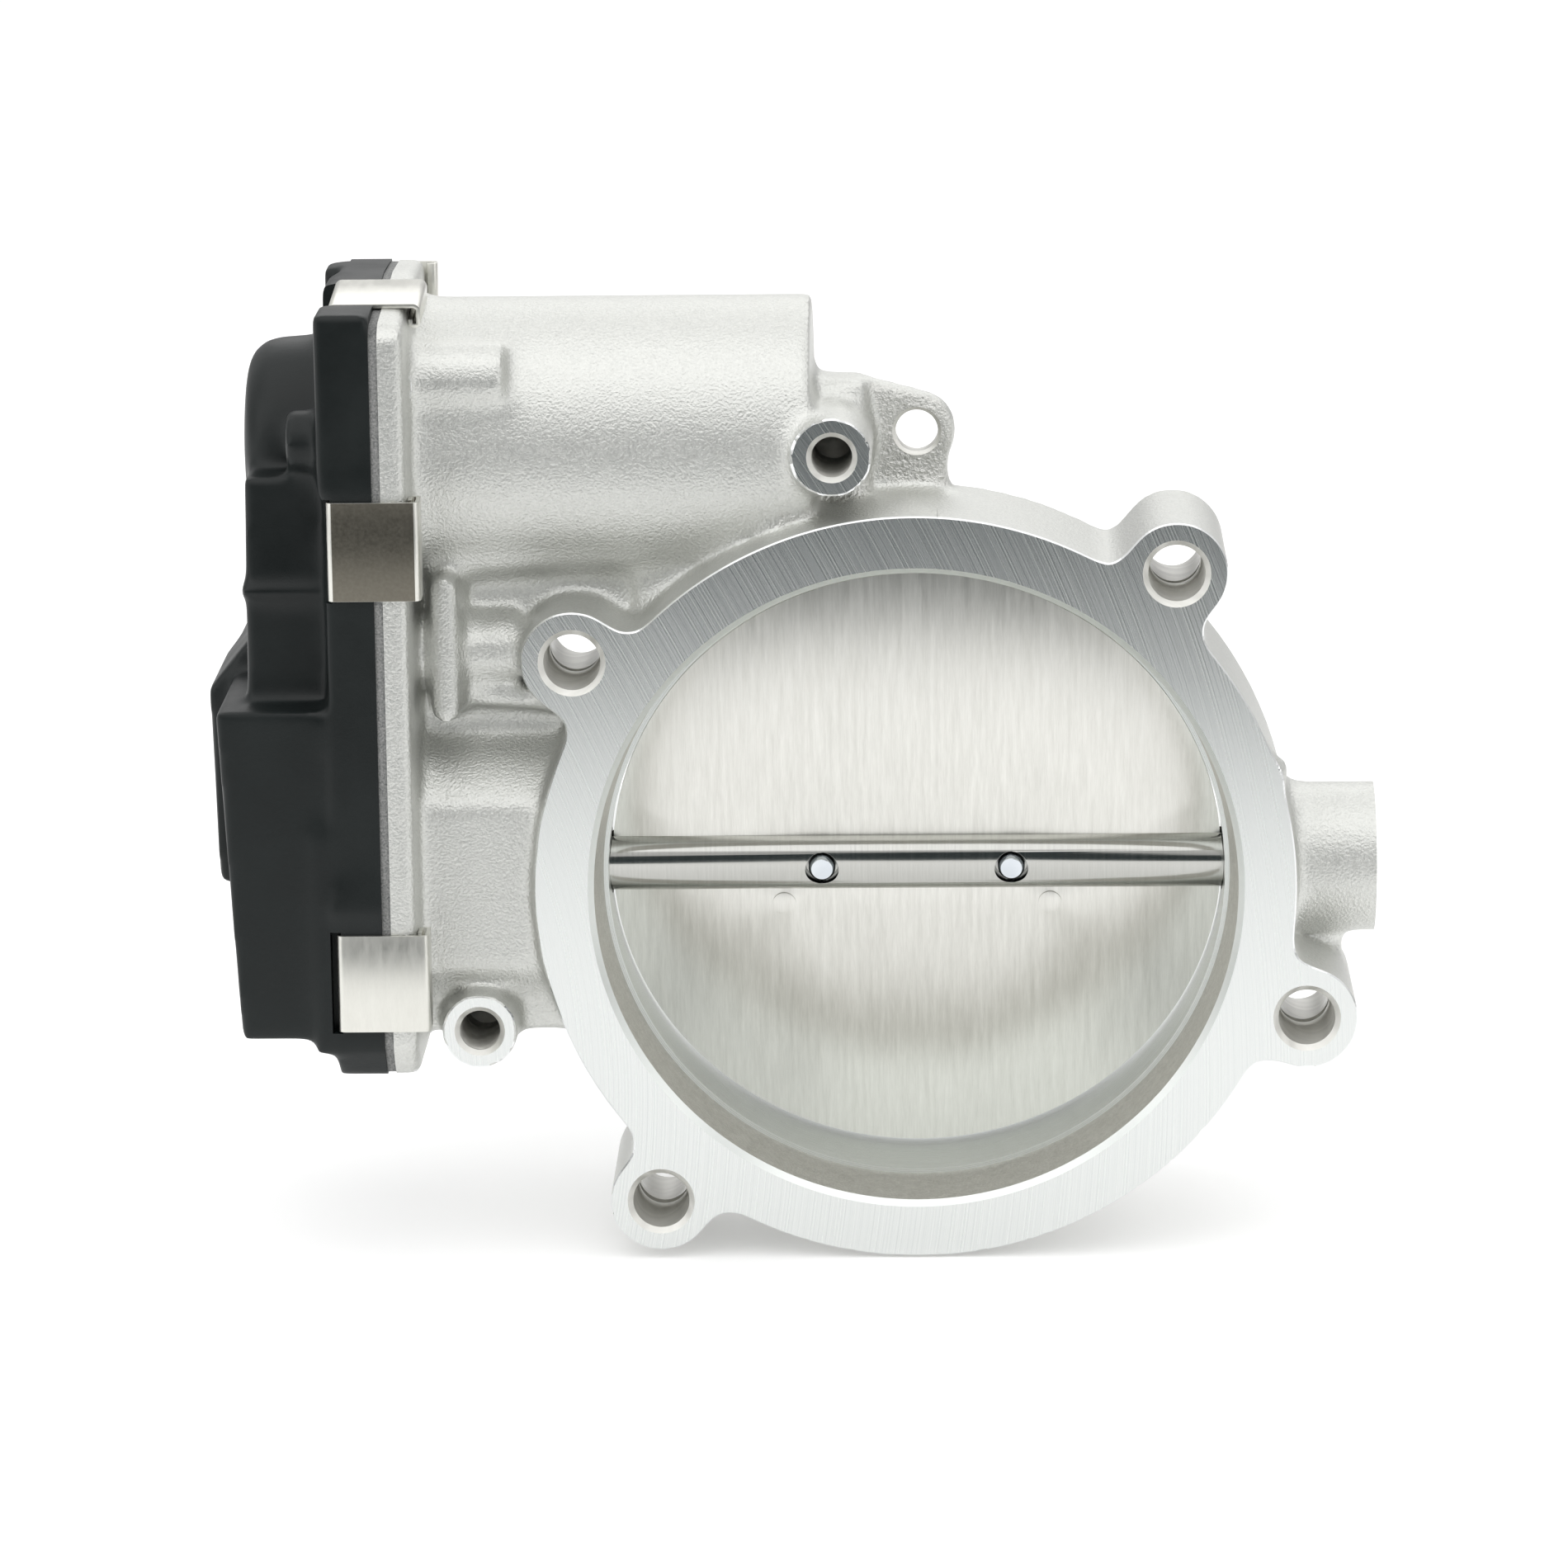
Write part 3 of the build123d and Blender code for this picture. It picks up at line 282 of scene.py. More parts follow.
# %% Housing blank
STOCK = 3.0  # metal left on for the machining
ON_FACE = 0.01  # how close to a face a corner of the drawn solid counts as on it
RIB_MIDDLE_Z, RIB_SHARE = 35.4, 0.86  # the rib by the neck is cast a little shorter
NECK_END_X = -59.0  # the neck's own front face, left of this, is not machined
WEB_POCKET = (-41, -33.5), (12, 27), (38, 47)
RIB_GAP = (-71.4, -67.1), (5.4, 19), (25.6, 45.4)
BOX_CORE_Y, BOX_CORE_Z = (-2.8, 46.2), (-25.6, 60)
BOX_TOP_Y, BOX_TOP_Z = (-1.2, 42.6), (60, 85.2)
SHAFT_AXIS, MOTOR_AXIS, PIN_AXIS = (shaft_y, shaft_z), (motor_y, motor_z), (pin_y, pin_z)


def xz(point):
    return (point[0], point[2])


blank = cad_copy("throttle_housing", "blank")
for vertex in blank.data.vertices:
    x, y, z = vertex.co / MM
    if abs(y) < ON_FACE and x > NECK_END_X:
        vertex.co.y = -STOCK * MM
    elif abs(y - housing_high[1]) < ON_FACE:
        vertex.co.y += STOCK * MM
    elif abs(x - gear_face) < ON_FACE:
        vertex.co.x -= STOCK * MM
    elif abs(x - housing_high[0]) < ON_FACE:
        vertex.co.x += STOCK * MM
    if -71.1 < x < -67.4 and y < 20.1 and 22 < z < 49:
        vertex.co.z = (RIB_MIDDLE_Z + (z - RIB_MIDDLE_Z) * RIB_SHARE) * MM

fillers = [bar("Y", (0, 0), BORE_R + 2.6, -STOCK, housing_high[1] + STOCK, 96)]
fillers += [bar("Y", xz(hole), BOLT_R + 1.4, -STOCK, 28.4) for hole in bolt_holes]
fillers += [bar("Y", xz(lug_hole), LUG_R + 0.5, 21.05, 24.95)]
fillers += [block(*WEB_POCKET), block(*RIB_GAP)]
fillers += [bar("Y", xz(top_boss), 5.9, 0.9, 20), bar("Y", xz(low_boss), 5.65, -1.5, 20)]
fillers += [
    bar("X", SHAFT_AXIS, 17.4, gear_face - STOCK, NECK_END_X),
    bar("X", SHAFT_AXIS, 9.0, -60, housing_high[0] + STOCK),
    bar("X", MOTOR_AXIS, 18.8, gear_face - STOCK, -17),
    bar("X", PIN_AXIS, 3.4, gear_face - STOCK, -60),
    block((gear_face - STOCK, gear_face + 2.5), BOX_CORE_Y, BOX_CORE_Z),
    block((gear_face - STOCK, gear_face + 2.5), BOX_TOP_Y, BOX_TOP_Z),
]
casting = join("housing_casting", [blank] + fillers)
print("blank faces:", len(casting.data.polygons))

# %% [markdown]
# ## From blank to casting
# A fine voxel keeps the small ribs and their roots apart. Many root steps give the
# wide fillets of a die casting, and few edge steps keep its outline from shrinking.

# %% Housing casting
cast_skin(casting, voxel=0.8, edge_steps=5, root_steps=24, keep=0.4)

# %% [markdown]
# ## Machining the casting
# Each cutter is the shape that the tool leaves: a flat for a milled face, a turned profile for
# the bore with its wider cast mouth, and a stepped profile for each hole. They are the frame's
# own sizes, so shafts, bearings and screws still fit.

# %% Housing cutters
MOUTH_R, MOUTH_DEPTH = BORE_R + 1.7, 12.0
snout_end = housing_high[1]
TOP_BOSS_FACE, LOW_BOSS_FACE = top_boss[1] - 8.0, low_boss[1] - 7.4
THREAD_DEPTH = 16
OUTSIDE = 9  # how far a cutter reaches past the metal
SHAFT_BORE_R, SEAT_R, PLUG_R, WELL_R = 5.0, 7.0, 8.4, 17.0
CHAMBER_R, CHAMBER_END = 18.4, -17.4  # the motor's chamber
PIN_GEAR_R, PINION_R = 24.1, 20.1  # room for the two gears in the gear box
GEAR_ROOM_Y, GEAR_ROOM_LOW = (1, 45), -23.6


def thread_profile(mouth, depth, radius, pitch=1.0):
    """Countersunk hole whose wall is cut with thread turns."""
    profile = [(mouth - 5, radius + 0.75), (mouth, radius + 0.75), (mouth + 0.75, radius)]
    y = mouth + 1.0
    while y < mouth + depth - 2:
        profile += [(y, radius), (y + 0.45 * pitch, radius + 0.4), (y + 0.55 * pitch, radius + 0.4)]
        y += pitch
    return profile + [(mouth + depth, radius - 0.1), (mouth + depth + 1.2, 0.3)]


bore_profile = [
    (-OUTSIDE, MOUTH_R + 0.8), (0, MOUTH_R + 0.8), (0.9, MOUTH_R - 0.08),
    (MOUTH_DEPTH, BORE_R + 0.7), (MOUTH_DEPTH + 0.01, BORE_R), (snout_end - 6, BORE_R),
    (snout_end, BORE_R + 1.6), (snout_end + OUTSIDE, BORE_R + 1.6),
]
bolt_profile = [
    (-OUTSIDE, BOLT_R + 0.95), (0, BOLT_R + 0.95), (0.75, BOLT_R + 0.15), (9.5, BOLT_R),
    (9.9, BOLT_R - 0.25), (12.2, BOLT_R - 0.25), (12.8, BOLT_R + 0.3), (14.2, BOLT_R + 0.3),
    (14.6, BOLT_R - 0.1), (27.6, BOLT_R + 0.1), (28.6, BOLT_R + 0.9), (34, BOLT_R + 0.9),
]
cutters = [
    block((-58.5, 80), (-OUTSIDE, 0), (-75, 95)),
    block((-90, gear_face), (-OUTSIDE, 60), (-40, 99)),
    block((-60, 60), (snout_end, snout_end + OUTSIDE), (-60, 60)),
    block((housing_high[0], 85), (0, 45), (-20, 20)),
    bar("Y", xz(top_boss), 8.4, -OUTSIDE, TOP_BOSS_FACE),
    bar("Y", xz(low_boss), 6.9, -OUTSIDE, LOW_BOSS_FACE),
    turned("Y", (0, 0), bore_profile, 192),
    turned("Y", xz(top_boss), thread_profile(TOP_BOSS_FACE, THREAD_DEPTH, THREAD_R), 48),
    turned("Y", xz(low_boss), thread_profile(LOW_BOSS_FACE, THREAD_DEPTH, THREAD_R), 48),
    turned("Y", xz(lug_hole), [(18, LUG_R + 0.5), (21.2, LUG_R + 0.5), (21.6, LUG_R),
                               (24.5, LUG_R), (25, LUG_R + 0.5), (30, LUG_R + 0.5)], 48),
    bar("X", SHAFT_AXIS, WELL_R, -90, -60, 96),
    bar("X", SHAFT_AXIS, SHAFT_BORE_R, -70, 62, 64),
    bar("X", SHAFT_AXIS, SEAT_R, -61, -51, 64),
    turned("X", SHAFT_AXIS, [(51, SEAT_R), (61.5, SEAT_R), (61.52, PLUG_R), (80, PLUG_R)], 64),
    bar("X", MOTOR_AXIS, CHAMBER_R, -90, CHAMBER_END, 96),
    bar("X", PIN_AXIS, 3.0, -90, -61, 32),
    bar("X", PIN_AXIS, PIN_GEAR_R, -90, gear_face + 2, 96),
    bar("X", MOTOR_AXIS, PINION_R, -90, gear_face + 2, 96),
    block((-90, gear_face + 2), GEAR_ROOM_Y, (GEAR_ROOM_LOW, motor_z)),
]
cutters += [turned("Y", xz(hole), bolt_profile, 48) for hole in bolt_holes]
carve(casting, cutters)
print("machined faces:", len(casting.data.polygons))

# %% [markdown]
# ## The side cover
# The cover is moulded in black glass-filled nylon. Its walls are thin and every outer edge is
# rounded, because sharp corners weaken a moulding. The same blank, skin and cutter steps
# suit it: the masses are set down roughly, the skin rounds them into one moulding, and the joint
# face, the hollow and the pockets for the clips are cut afterwards.

# %% Cover blank
cover_low, cover_high = limits("gear_cover")
joint_x = cover_high[0]
RIM_X, UPPER_X, LOWER_X = joint_x - 7.1, joint_x - 20.3, joint_x - 24.2
box_front, box_back = housing_low[1], cover_high[1] - 16.0
box_bottom, box_top = cover_low[2], cover_high[2]
rim_outline = [
    (box_front, box_bottom + 5), (box_front + 4, box_bottom), (box_back - 5, box_bottom),
    (box_back, box_bottom + 6), (box_back, box_top - 27), (box_back - 4, box_top - 20),
    (box_back - 4, box_top - 0.4), (box_back - 20, box_top), (box_front + 2, box_top - 3),
    (box_front, box_top - 5),
]
drum_profile = [
    (RIM_X + 2, 15.9), (UPPER_X + 4.6, 15.2), (UPPER_X + 2.6, 14.6), (UPPER_X + 1.0, 13.2),
    (UPPER_X + 0.2, 11.4), (UPPER_X, 9.0),
]
socket_x, socket_z = joint_x - 15.8, 16.0


def frustum(x_top, x_low, y_top, y_low, z_top, z_low):
    """Block whose top and bottom rectangles differ."""
    corners = [(x, y, z) for (xs, ys, z) in ((x_low, y_low, z_low), (x_top, y_top, z_top))
               for x, y in ((xs[0], ys[0]), (xs[1], ys[0]), (xs[1], ys[1]), (xs[0], ys[1]))]
    sides = [(i, (i + 1) % 4, 4 + (i + 1) % 4, 4 + i) for i in range(4)]
    return new_piece("frustum", corners, sides + [(0, 1, 2, 3), (4, 5, 6, 7)])


def ring_outline(width, height, corner, steps=8):
    """Rounded rectangle of (u, v) points round the origin."""
    points = []
    for sign_u, sign_v, start in ((1, 1, 0), (-1, 1, 90), (-1, -1, 180), (1, -1, 270)):
        for i in range(steps + 1):
            turn = math.radians(start + 90 * i / steps)
            points.append((sign_u * (width / 2 - corner) + corner * math.cos(turn),
                           sign_v * (height / 2 - corner) + corner * math.sin(turn)))
    return points


print("cover joint at X", joint_x, "rim at", RIM_X)
shroud = [(socket_x + u, socket_z + v) for u, v in ring_outline(20, 30, 4)]
socket = [(socket_x + u, socket_z + v) for u, v in ring_outline(16, 26, 2.5)]
mouldings = [
    pushed("X", rim_outline, RIM_X, joint_x + STOCK),
    turned("X", MOTOR_AXIS, drum_profile, 96),
    frustum((UPPER_X + 1.0, RIM_X + 1), (UPPER_X + 0.6, RIM_X + 1), (3.2, 42), (2.2, 42),
            62, 26),
    frustum((LOWER_X + 0.3, RIM_X + 1), (LOWER_X + 2.9, RIM_X + 1), (-3.7, 47), (-2.9, 47),
            28.4, -21.6),
    block((RIM_X - 3.0, RIM_X + 1), (box_front + 0.4, 30), (-23.6, 10.4)),
    block((RIM_X - 0.9, joint_x), (box_front, 5.9), (60.4, 87.2)),
    block((RIM_X - 0.7, joint_x), (box_front - 0.25, 5.9), (60.4, 62.6)),
    bar("X", (4.5, 67.3), 4.55, RIM_X - 5.8, RIM_X + 1),
    block((UPPER_X + 0.1, RIM_X), (1.7, 42.4), (44.5, 45.8)),
    frustum((joint_x - 5.9, joint_x), (joint_x - 7.6, joint_x), (-4.6, 4), (-5.25, 4),
            4.6, -2.4),
    block((RIM_X - 2.6, joint_x), (box_back - 12, box_back - 4.4), (78, 88)),
    block((RIM_X - 1.6, joint_x - 1), (20.0, 30.0), (78, 87.6)),
    pushed("Y", [(RIM_X, -6), (LOWER_X - 2.6, -4), (LOWER_X - 3.4, 26), (UPPER_X, 35),
                 (RIM_X, 35)], 24, box_back + 2),
    pushed("Y", shroud, box_back, box_back + 16),
]
mouldings += [
    block((socket_x + 9.5, socket_x + 11.4), (box_back + 5, box_back + 14), (z - 0.9, z + 0.9))
    for z in (socket_z - 6, socket_z + 6)
]
cover = join("cover_moulding", mouldings)
cast_skin(cover, voxel=0.6, edge_steps=7, root_steps=22, keep=0.35)

# %% [markdown]
# ## Hollowing the cover
# The joint face is cut flat, and the room for the gears is taken out behind it: one round
# room for each gear, and a half disc as wide as the sector gear's teeth swing. A pocket for
# each clip is cut from the outside. The front pockets are shallow, so that the rim runs on.

# %% Cover joint face, hollow and pockets
CLIP_W, SHORT_CLIP_W = 14.6, 11.6
front_clips, back_clips = (52.4, -12.5), (34.0, -12.5)
TOP_CLIP_Y, TOP_BACK_CLIP_Z = 13.5, 81.8
pocket_x = RIM_X + 1.0
half = CLIP_W / 2 + 0.4
SECTOR_SWEEP_R = 23.4  # the sector gear's teeth and half a millimetre of air
HOLLOW_X = RIM_X + 1.9  # the wide part of the hollow stops short of the rim's outer wall
sweep = [(shaft_y + SECTOR_SWEEP_R * math.cos(math.radians(turn)),
          shaft_z + SECTOR_SWEEP_R * math.sin(math.radians(turn))) for turn in range(-3, 184, 3)]
cutters = [
    pushed("X", sweep, joint_x - 13.8, RIM_X + 2.5),
    block((joint_x, joint_x + OUTSIDE), (-OUTSIDE, 70), (-40, 99)),
    bar("X", PIN_AXIS, PIN_GEAR_R, HOLLOW_X, joint_x + OUTSIDE, 96),
    bar("X", MOTOR_AXIS, PINION_R, HOLLOW_X, joint_x + OUTSIDE, 96),
    block((HOLLOW_X, joint_x + OUTSIDE), GEAR_ROOM_Y, (GEAR_ROOM_LOW, motor_z)),
    block((UPPER_X + 2.6, RIM_X + 2.5), (4.6, 39.8), (10, 60)),
    bar("X", MOTOR_AXIS, 13.0, UPPER_X + 2.2, RIM_X + 2.5),
    block((LOWER_X + 4.6, RIM_X + 2.5), (-0.9, 45), (-19.4, 25.6)),
    pushed("Y", socket, box_back + 2, box_back + 20),
    block((RIM_X - OUTSIDE, pocket_x), (TOP_CLIP_Y - half, TOP_CLIP_Y + half), (82.6, 95)),
    block((RIM_X - OUTSIDE, pocket_x), (box_back - 7.4, box_back), (TOP_BACK_CLIP_Z - 6.2, 95)),
]
cutters += [block((RIM_X - 0.6, pocket_x), (box_front - 5, box_front + 3.4), (z - half, z + half))
            for z in front_clips]
cutters += [block((RIM_X - OUTSIDE, pocket_x), (box_back - 3.4, box_back + 20),
                  (z - half, z + half)) for z in back_clips]
carve(cover, cutters)
print("cover faces:", len(cover.data.polygons))

# %% [markdown]
# ## The clips
# Each clip is one strip of spring steel, bent over the joint: a short leg in the cover's pocket,
# a flat back, a longer leg behind the housing's flange, and a hooked tail that snaps
# over its edge. A strip is best made as its centre line with rounded bends, given a thickness
# and then a width. A small bevel gives the cut edges something to catch the light with.

# %% Clip maker
NECK_X = gear_face + 3.7  # the back of the housing's own rim, where the hooks catch
CLIP_T = 0.6
CLIP_EDGE, EDGE_ANGLE = 0.12, 1.0  # bevel's width in mm and least angle in radians


def rounded_path(corners, radii, steps=6):
    """Centre line through the corners, with an arc of the given radius at each inner one."""
    path = [np.array(corners[0], float)]
    for before, corner, after, radius in zip(corners, corners[1:], corners[2:], radii):
        corner = np.array(corner, float)
        a = np.array(before) - corner
        b = np.array(after) - corner
        a, b = a / np.linalg.norm(a), b / np.linalg.norm(b)
        half_turn = math.acos(max(-1, min(1, float(a @ b)))) / 2
        reach = radius / math.tan(half_turn)
        centre = corner + (a + b) / np.linalg.norm(a + b) * radius / math.sin(half_turn)
        first, last = corner + a * reach - centre, corner + b * reach - centre
        angle = math.atan2(first[1], first[0])
        turn = (math.atan2(last[1], last[0]) - angle + math.pi) % (2 * math.pi) - math.pi
        path += [centre + radius * np.array((math.cos(angle + turn * i / steps),
                                             math.sin(angle + turn * i / steps)))
                 for i in range(steps + 1)]
    path.append(np.array(corners[-1], float))
    return path


def strip_outline(path, thickness):
    """Closed outline of a strip round its centre line."""
    path = np.array(path)
    along = np.gradient(path, axis=0)
    along /= np.linalg.norm(along, axis=1)[:, None]
    across = np.stack([-along[:, 1], along[:, 0]], 1) * thickness / 2
    return np.concatenate([path + across, (path - across)[::-1]])


def clip_piece(width, leg, across, outward, origin):
    """Clip whose own axes are X, outward from the box, and across its width."""
    back = CLIP_T / 2 + 0.05
    far = NECK_X + 1.9 - CLIP_T / 2
    corners = [
        (pocket_x - CLIP_T / 2, -3.1), (pocket_x - CLIP_T / 2, back), (far, back),
        (far, -leg + 0.2), (far - 1.15, -leg + 0.35), (NECK_X + 0.45, -1.7),
    ]
    path = rounded_path(corners, (0.75, 0.75, 0.45, 0.4))
    piece = pushed("Z", strip_outline(path, CLIP_T), -width / 2, width / 2)
    turn = Matrix((
        (1, outward[0], across[0], origin[0] * MM),
        (0, outward[1], across[1], origin[1] * MM),
        (0, outward[2], across[2], origin[2] * MM),
        (0, 0, 0, 1),
    ))
    piece.data.transform(turn)
    return piece


slope = math.atan2(3.0, box_back - 20 - (box_front + 2))
top_z = box_top - (box_back - 20 - TOP_CLIP_Y) * math.tan(slope)
strips = [clip_piece(CLIP_W, 5.0, (0, 0, 1), (0, -1, 0), (0, box_front, z)) for z in front_clips]
strips += [clip_piece(CLIP_W, 5.0, (0, 0, 1), (0, 1, 0), (0, box_back, z)) for z in back_clips]
strips.append(clip_piece(CLIP_W, 2.9, (0, math.cos(slope), math.sin(slope)),
                         (0, -math.sin(slope), math.cos(slope)), (0, TOP_CLIP_Y, top_z)))
strips.append(clip_piece(SHORT_CLIP_W, 2.2, (0, 0, 1), (0, 1, 0),
                         (0, box_back - 4, TOP_BACK_CLIP_Z)))
clips = join("spring_clips", strips)
tidy = bmesh.new()
tidy.from_mesh(clips.data)
bmesh.ops.recalc_face_normals(tidy, faces=tidy.faces)
tidy.to_mesh(clips.data)
tidy.free()
edge = clips.modifiers.new("Edge", "BEVEL")
edge.width, edge.segments = CLIP_EDGE * MM, 2
edge.limit_method, edge.angle_limit = "ANGLE", EDGE_ANGLE
bake_modifiers(clips)
print("clip faces:", len(clips.data.polygons))

# %% [markdown]
# ## Plate, shaft and screws
# The plate is stamped from brushed sheet and its rim is machined, the shaft is ground and the
# screws are plated. Their drawn shapes are right already, but their edges are mathematically
# sharp, and nothing real is. A narrow bevel on the edges alone gives each its thin highlight.

# %% Softened copies
SHARP_ANGLE = 0.6  # edges that turn by more than this, in radians, are broken


def softened(node, name, width):
    """Copy of a CAD node with its sharp edges broken."""
    piece = cad_copy(node, name)
    edge = piece.modifiers.new("Edge", "BEVEL")
    edge.width, edge.segments = width * MM, 2
    edge.limit_method, edge.angle_limit = "ANGLE", SHARP_ANGLE
    bake_modifiers(piece)
    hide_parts(node)
    return piece


plate = softened("throttle_plate", "valve_plate", 0.12)
shaft = softened("throttle_shaft", "valve_shaft", 0.12)
screws = softened("plate_screws", "valve_screws", 0.10)
gasket = softened("cover_gasket", "joint_gasket", 0.15)
print("plate faces:", len(plate.data.polygons))

# %% [markdown]
# ## Shared effects
# Three effects turn up in several finishes, so each is a node group. Grain is the pitted skin
# of a casting or the fine spark-eroded texture of a moulding. Streaks are the long marks
# left by a brush or a tool. Rings are the marks of turning, spaced along an axis. Each gives
# out only values that change over the surface.

# %% Node groups
def group(name, inputs, outputs):
    """Empty shader node group with float inputs (name, default) and float outputs."""
    tree = bpy.data.node_groups.new(name, "ShaderNodeTree")
    for label, value in inputs:
        socket_in = tree.interface.new_socket(label, in_out="INPUT", socket_type="NodeSocketFloat")
        socket_in.default_value = value
    for label in outputs:
        tree.interface.new_socket(label, in_out="OUTPUT", socket_type="NodeSocketFloat")
    return tree, tree.nodes.new("NodeGroupInput"), tree.nodes.new("NodeGroupOutput")


def math_node(tree, operation, a, b=0.0, c=0.0):
    node = tree.nodes.new("ShaderNodeMath")
    node.operation = operation
    for socket_in, value in zip(node.inputs, (a, b, c)):
        if isinstance(value, (int, float)):
            socket_in.default_value = value
        else:
            tree.links.new(value, socket_in)
    return node.outputs[0]


def noise(tree, vector, scale, detail=3.0, roughness=0.55):
    node = tree.nodes.new("ShaderNodeTexNoise")
    tree.links.new(vector, node.inputs["Vector"])
    node.inputs["Detail"].default_value = detail
    node.inputs["Roughness"].default_value = roughness
    if isinstance(scale, (int, float)):
        node.inputs["Scale"].default_value = scale
    else:
        tree.links.new(scale, node.inputs["Scale"])
    return node.outputs["Fac"]


def place(tree):
    return tree.nodes.new("ShaderNodeTexCoord").outputs["Object"]


grain, given, out = group(
    "Grain", [("Size mm", 0.4), ("Coarse share", 0.4)], ["Height", "Mottle"])
where = place(grain)
fine_scale = math_node(grain, "DIVIDE", 1000.0, given.outputs["Size mm"])
fine = noise(grain, where, fine_scale, 2.0)
coarse = noise(grain, where, math_node(grain, "MULTIPLY", fine_scale, 0.3), 3.0)
patches = noise(grain, where, 90.0, 3.0)
mixed = math_node(grain, "MULTIPLY_ADD", coarse, given.outputs["Coarse share"], fine)
grain.links.new(mixed, out.inputs["Height"])
grain.links.new(patches, out.inputs["Mottle"])

streaks, given, out = group(
    "Streaks", [("Across per mm", 8.0), ("Along per mm", 0.05)], ["Height", "Tone"])
split = streaks.nodes.new("ShaderNodeSeparateXYZ")
streaks.links.new(place(streaks), split.inputs[0])
merge = streaks.nodes.new("ShaderNodeCombineXYZ")
across, along = (math_node(streaks, "MULTIPLY", given.outputs[label], 1000.0)
                 for label in ("Across per mm", "Along per mm"))
for axis, rate in enumerate((across, along, along)):
    streaks.links.new(math_node(streaks, "MULTIPLY", split.outputs[axis], rate),
                      merge.inputs[axis])
lines = noise(streaks, merge.outputs[0], 1.0, 3.0, 0.6)
broad = noise(streaks, merge.outputs[0], 0.23, 2.0, 0.5)
streaks.links.new(lines, out.inputs["Height"])
tone = math_node(streaks, "MULTIPLY_ADD", broad, 0.6, math_node(streaks, "MULTIPLY", lines, 0.4))
streaks.links.new(tone, out.inputs["Tone"])

rings, given, out = group(
    "Rings", [("Centre X mm", 0.0), ("Centre Z mm", 0.0), ("Spacing mm", 0.5), ("Depth", 0.0)],
    ["Height", "Tone"])
split = rings.nodes.new("ShaderNodeSeparateXYZ")
rings.links.new(place(rings), split.inputs[0])
offsets = [math_node(rings, "MULTIPLY_ADD", split.outputs[axis], 1000.0,
                     math_node(rings, "MULTIPLY", given.outputs[label], -1.0))
           for axis, label in ((0, "Centre X mm"), (2, "Centre Z mm"))]
square = math_node(rings, "MULTIPLY", offsets[1], offsets[1])
radius = math_node(rings, "SQRT", math_node(rings, "MULTIPLY_ADD", offsets[0], offsets[0], square))
depth = math_node(rings, "MULTIPLY", math_node(rings, "MULTIPLY", split.outputs[1], 1000.0),
                  given.outputs["Depth"])
travel = math_node(rings, "DIVIDE", math_node(rings, "ADD", radius, depth),
                   given.outputs["Spacing mm"])
for label, scale, detail in (("Height", 1.0, 3.0), ("Tone", 0.13, 2.0)):
    line = rings.nodes.new("ShaderNodeTexNoise")
    line.noise_dimensions = "1D"
    line.inputs["Scale"].default_value = scale
    line.inputs["Detail"].default_value = detail
    rings.links.new(travel, line.inputs["W"])
    rings.links.new(line.outputs["Fac"], out.inputs[label])
print("groups:", [g.name for g in bpy.data.node_groups])

# %% [markdown]
# ## Finishes
# A finish here is one Principled shader whose colour, roughness and bump vary with the shared
# effects. A small maker keeps them alike: it takes two colours to move between, two roughness
# values, and the height to bump by. What never varies, such as the metallic value,
# is set on the shader's own socket.

# %% Finish maker
def ramp(tree, value, low, high, start=0.3, end=0.7):
    """Colour or value that goes from low to high as value goes from start to end."""
    node = tree.nodes.new("ShaderNodeMapRange")
    tree.links.new(value, node.inputs["Value"])
    node.inputs["From Min"].default_value, node.inputs["From Max"].default_value = start, end
    if isinstance(low, (int, float)):
        node.inputs["To Min"].default_value, node.inputs["To Max"].default_value = low, high
        return node.outputs[0]
    mix = tree.nodes.new("ShaderNodeMix")
    mix.data_type = "RGBA"
    tree.links.new(node.outputs[0], mix.inputs["Factor"])
    mix.inputs[6].default_value = (*low, 1)
    mix.inputs[7].default_value = (*high, 1)
    return mix.outputs[2]


def finish(name, effect, settings, colours, roughness, bump, metallic=1.0, tone="Mottle",
           span=(0.3, 0.7)):
    """Principled material driven by one effect group; bump is (strength, depth in mm)."""
    material = bpy.data.materials.new(name)
    material.use_nodes = True
    tree = material.node_tree
    shader = tree.nodes["Principled BSDF"]
    shader.inputs["Metallic"].default_value = metallic
    node = tree.nodes.new("ShaderNodeGroup")
    node.node_tree = effect
    for label, value in settings.items():
        node.inputs[label].default_value = value
    tree.links.new(ramp(tree, node.outputs[tone], *colours, *span), shader.inputs["Base Color"])
    tree.links.new(ramp(tree, node.outputs[tone], *roughness, *span),
                   shader.inputs["Roughness"])
    relief = tree.nodes.new("ShaderNodeBump")
    relief.inputs["Strength"].default_value = bump[0]
    relief.inputs["Distance"].default_value = bump[1] * MM
    tree.links.new(node.outputs["Height"], relief.inputs["Height"])
    tree.links.new(relief.outputs[0], shader.inputs["Normal"])
    return material


def surface(name, colour, roughness, metallic=0.0):
    """Plain material without texture."""
    material = bpy.data.materials.new(name)
    material.use_nodes = True
    shader = material.node_tree.nodes["Principled BSDF"]
    shader.inputs["Base Color"].default_value = (*colour, 1)
    shader.inputs["Roughness"].default_value = roughness
    shader.inputs["Metallic"].default_value = metallic
    return material


def paint(piece, *materials):
    piece.data.materials.clear()
    for material in materials:
        piece.data.materials.append(material)


print("finish makers ready")

# %% [markdown]
# ## The housing's finishes
# One casting shows seven surfaces. The cast skin is fine and even, but coarser beside the
# motor and grey inside the cast mouth of the bore. The milled faces, the bored wall and the
# drilled holes carry the marks of their tools, and the broken edges are bright.

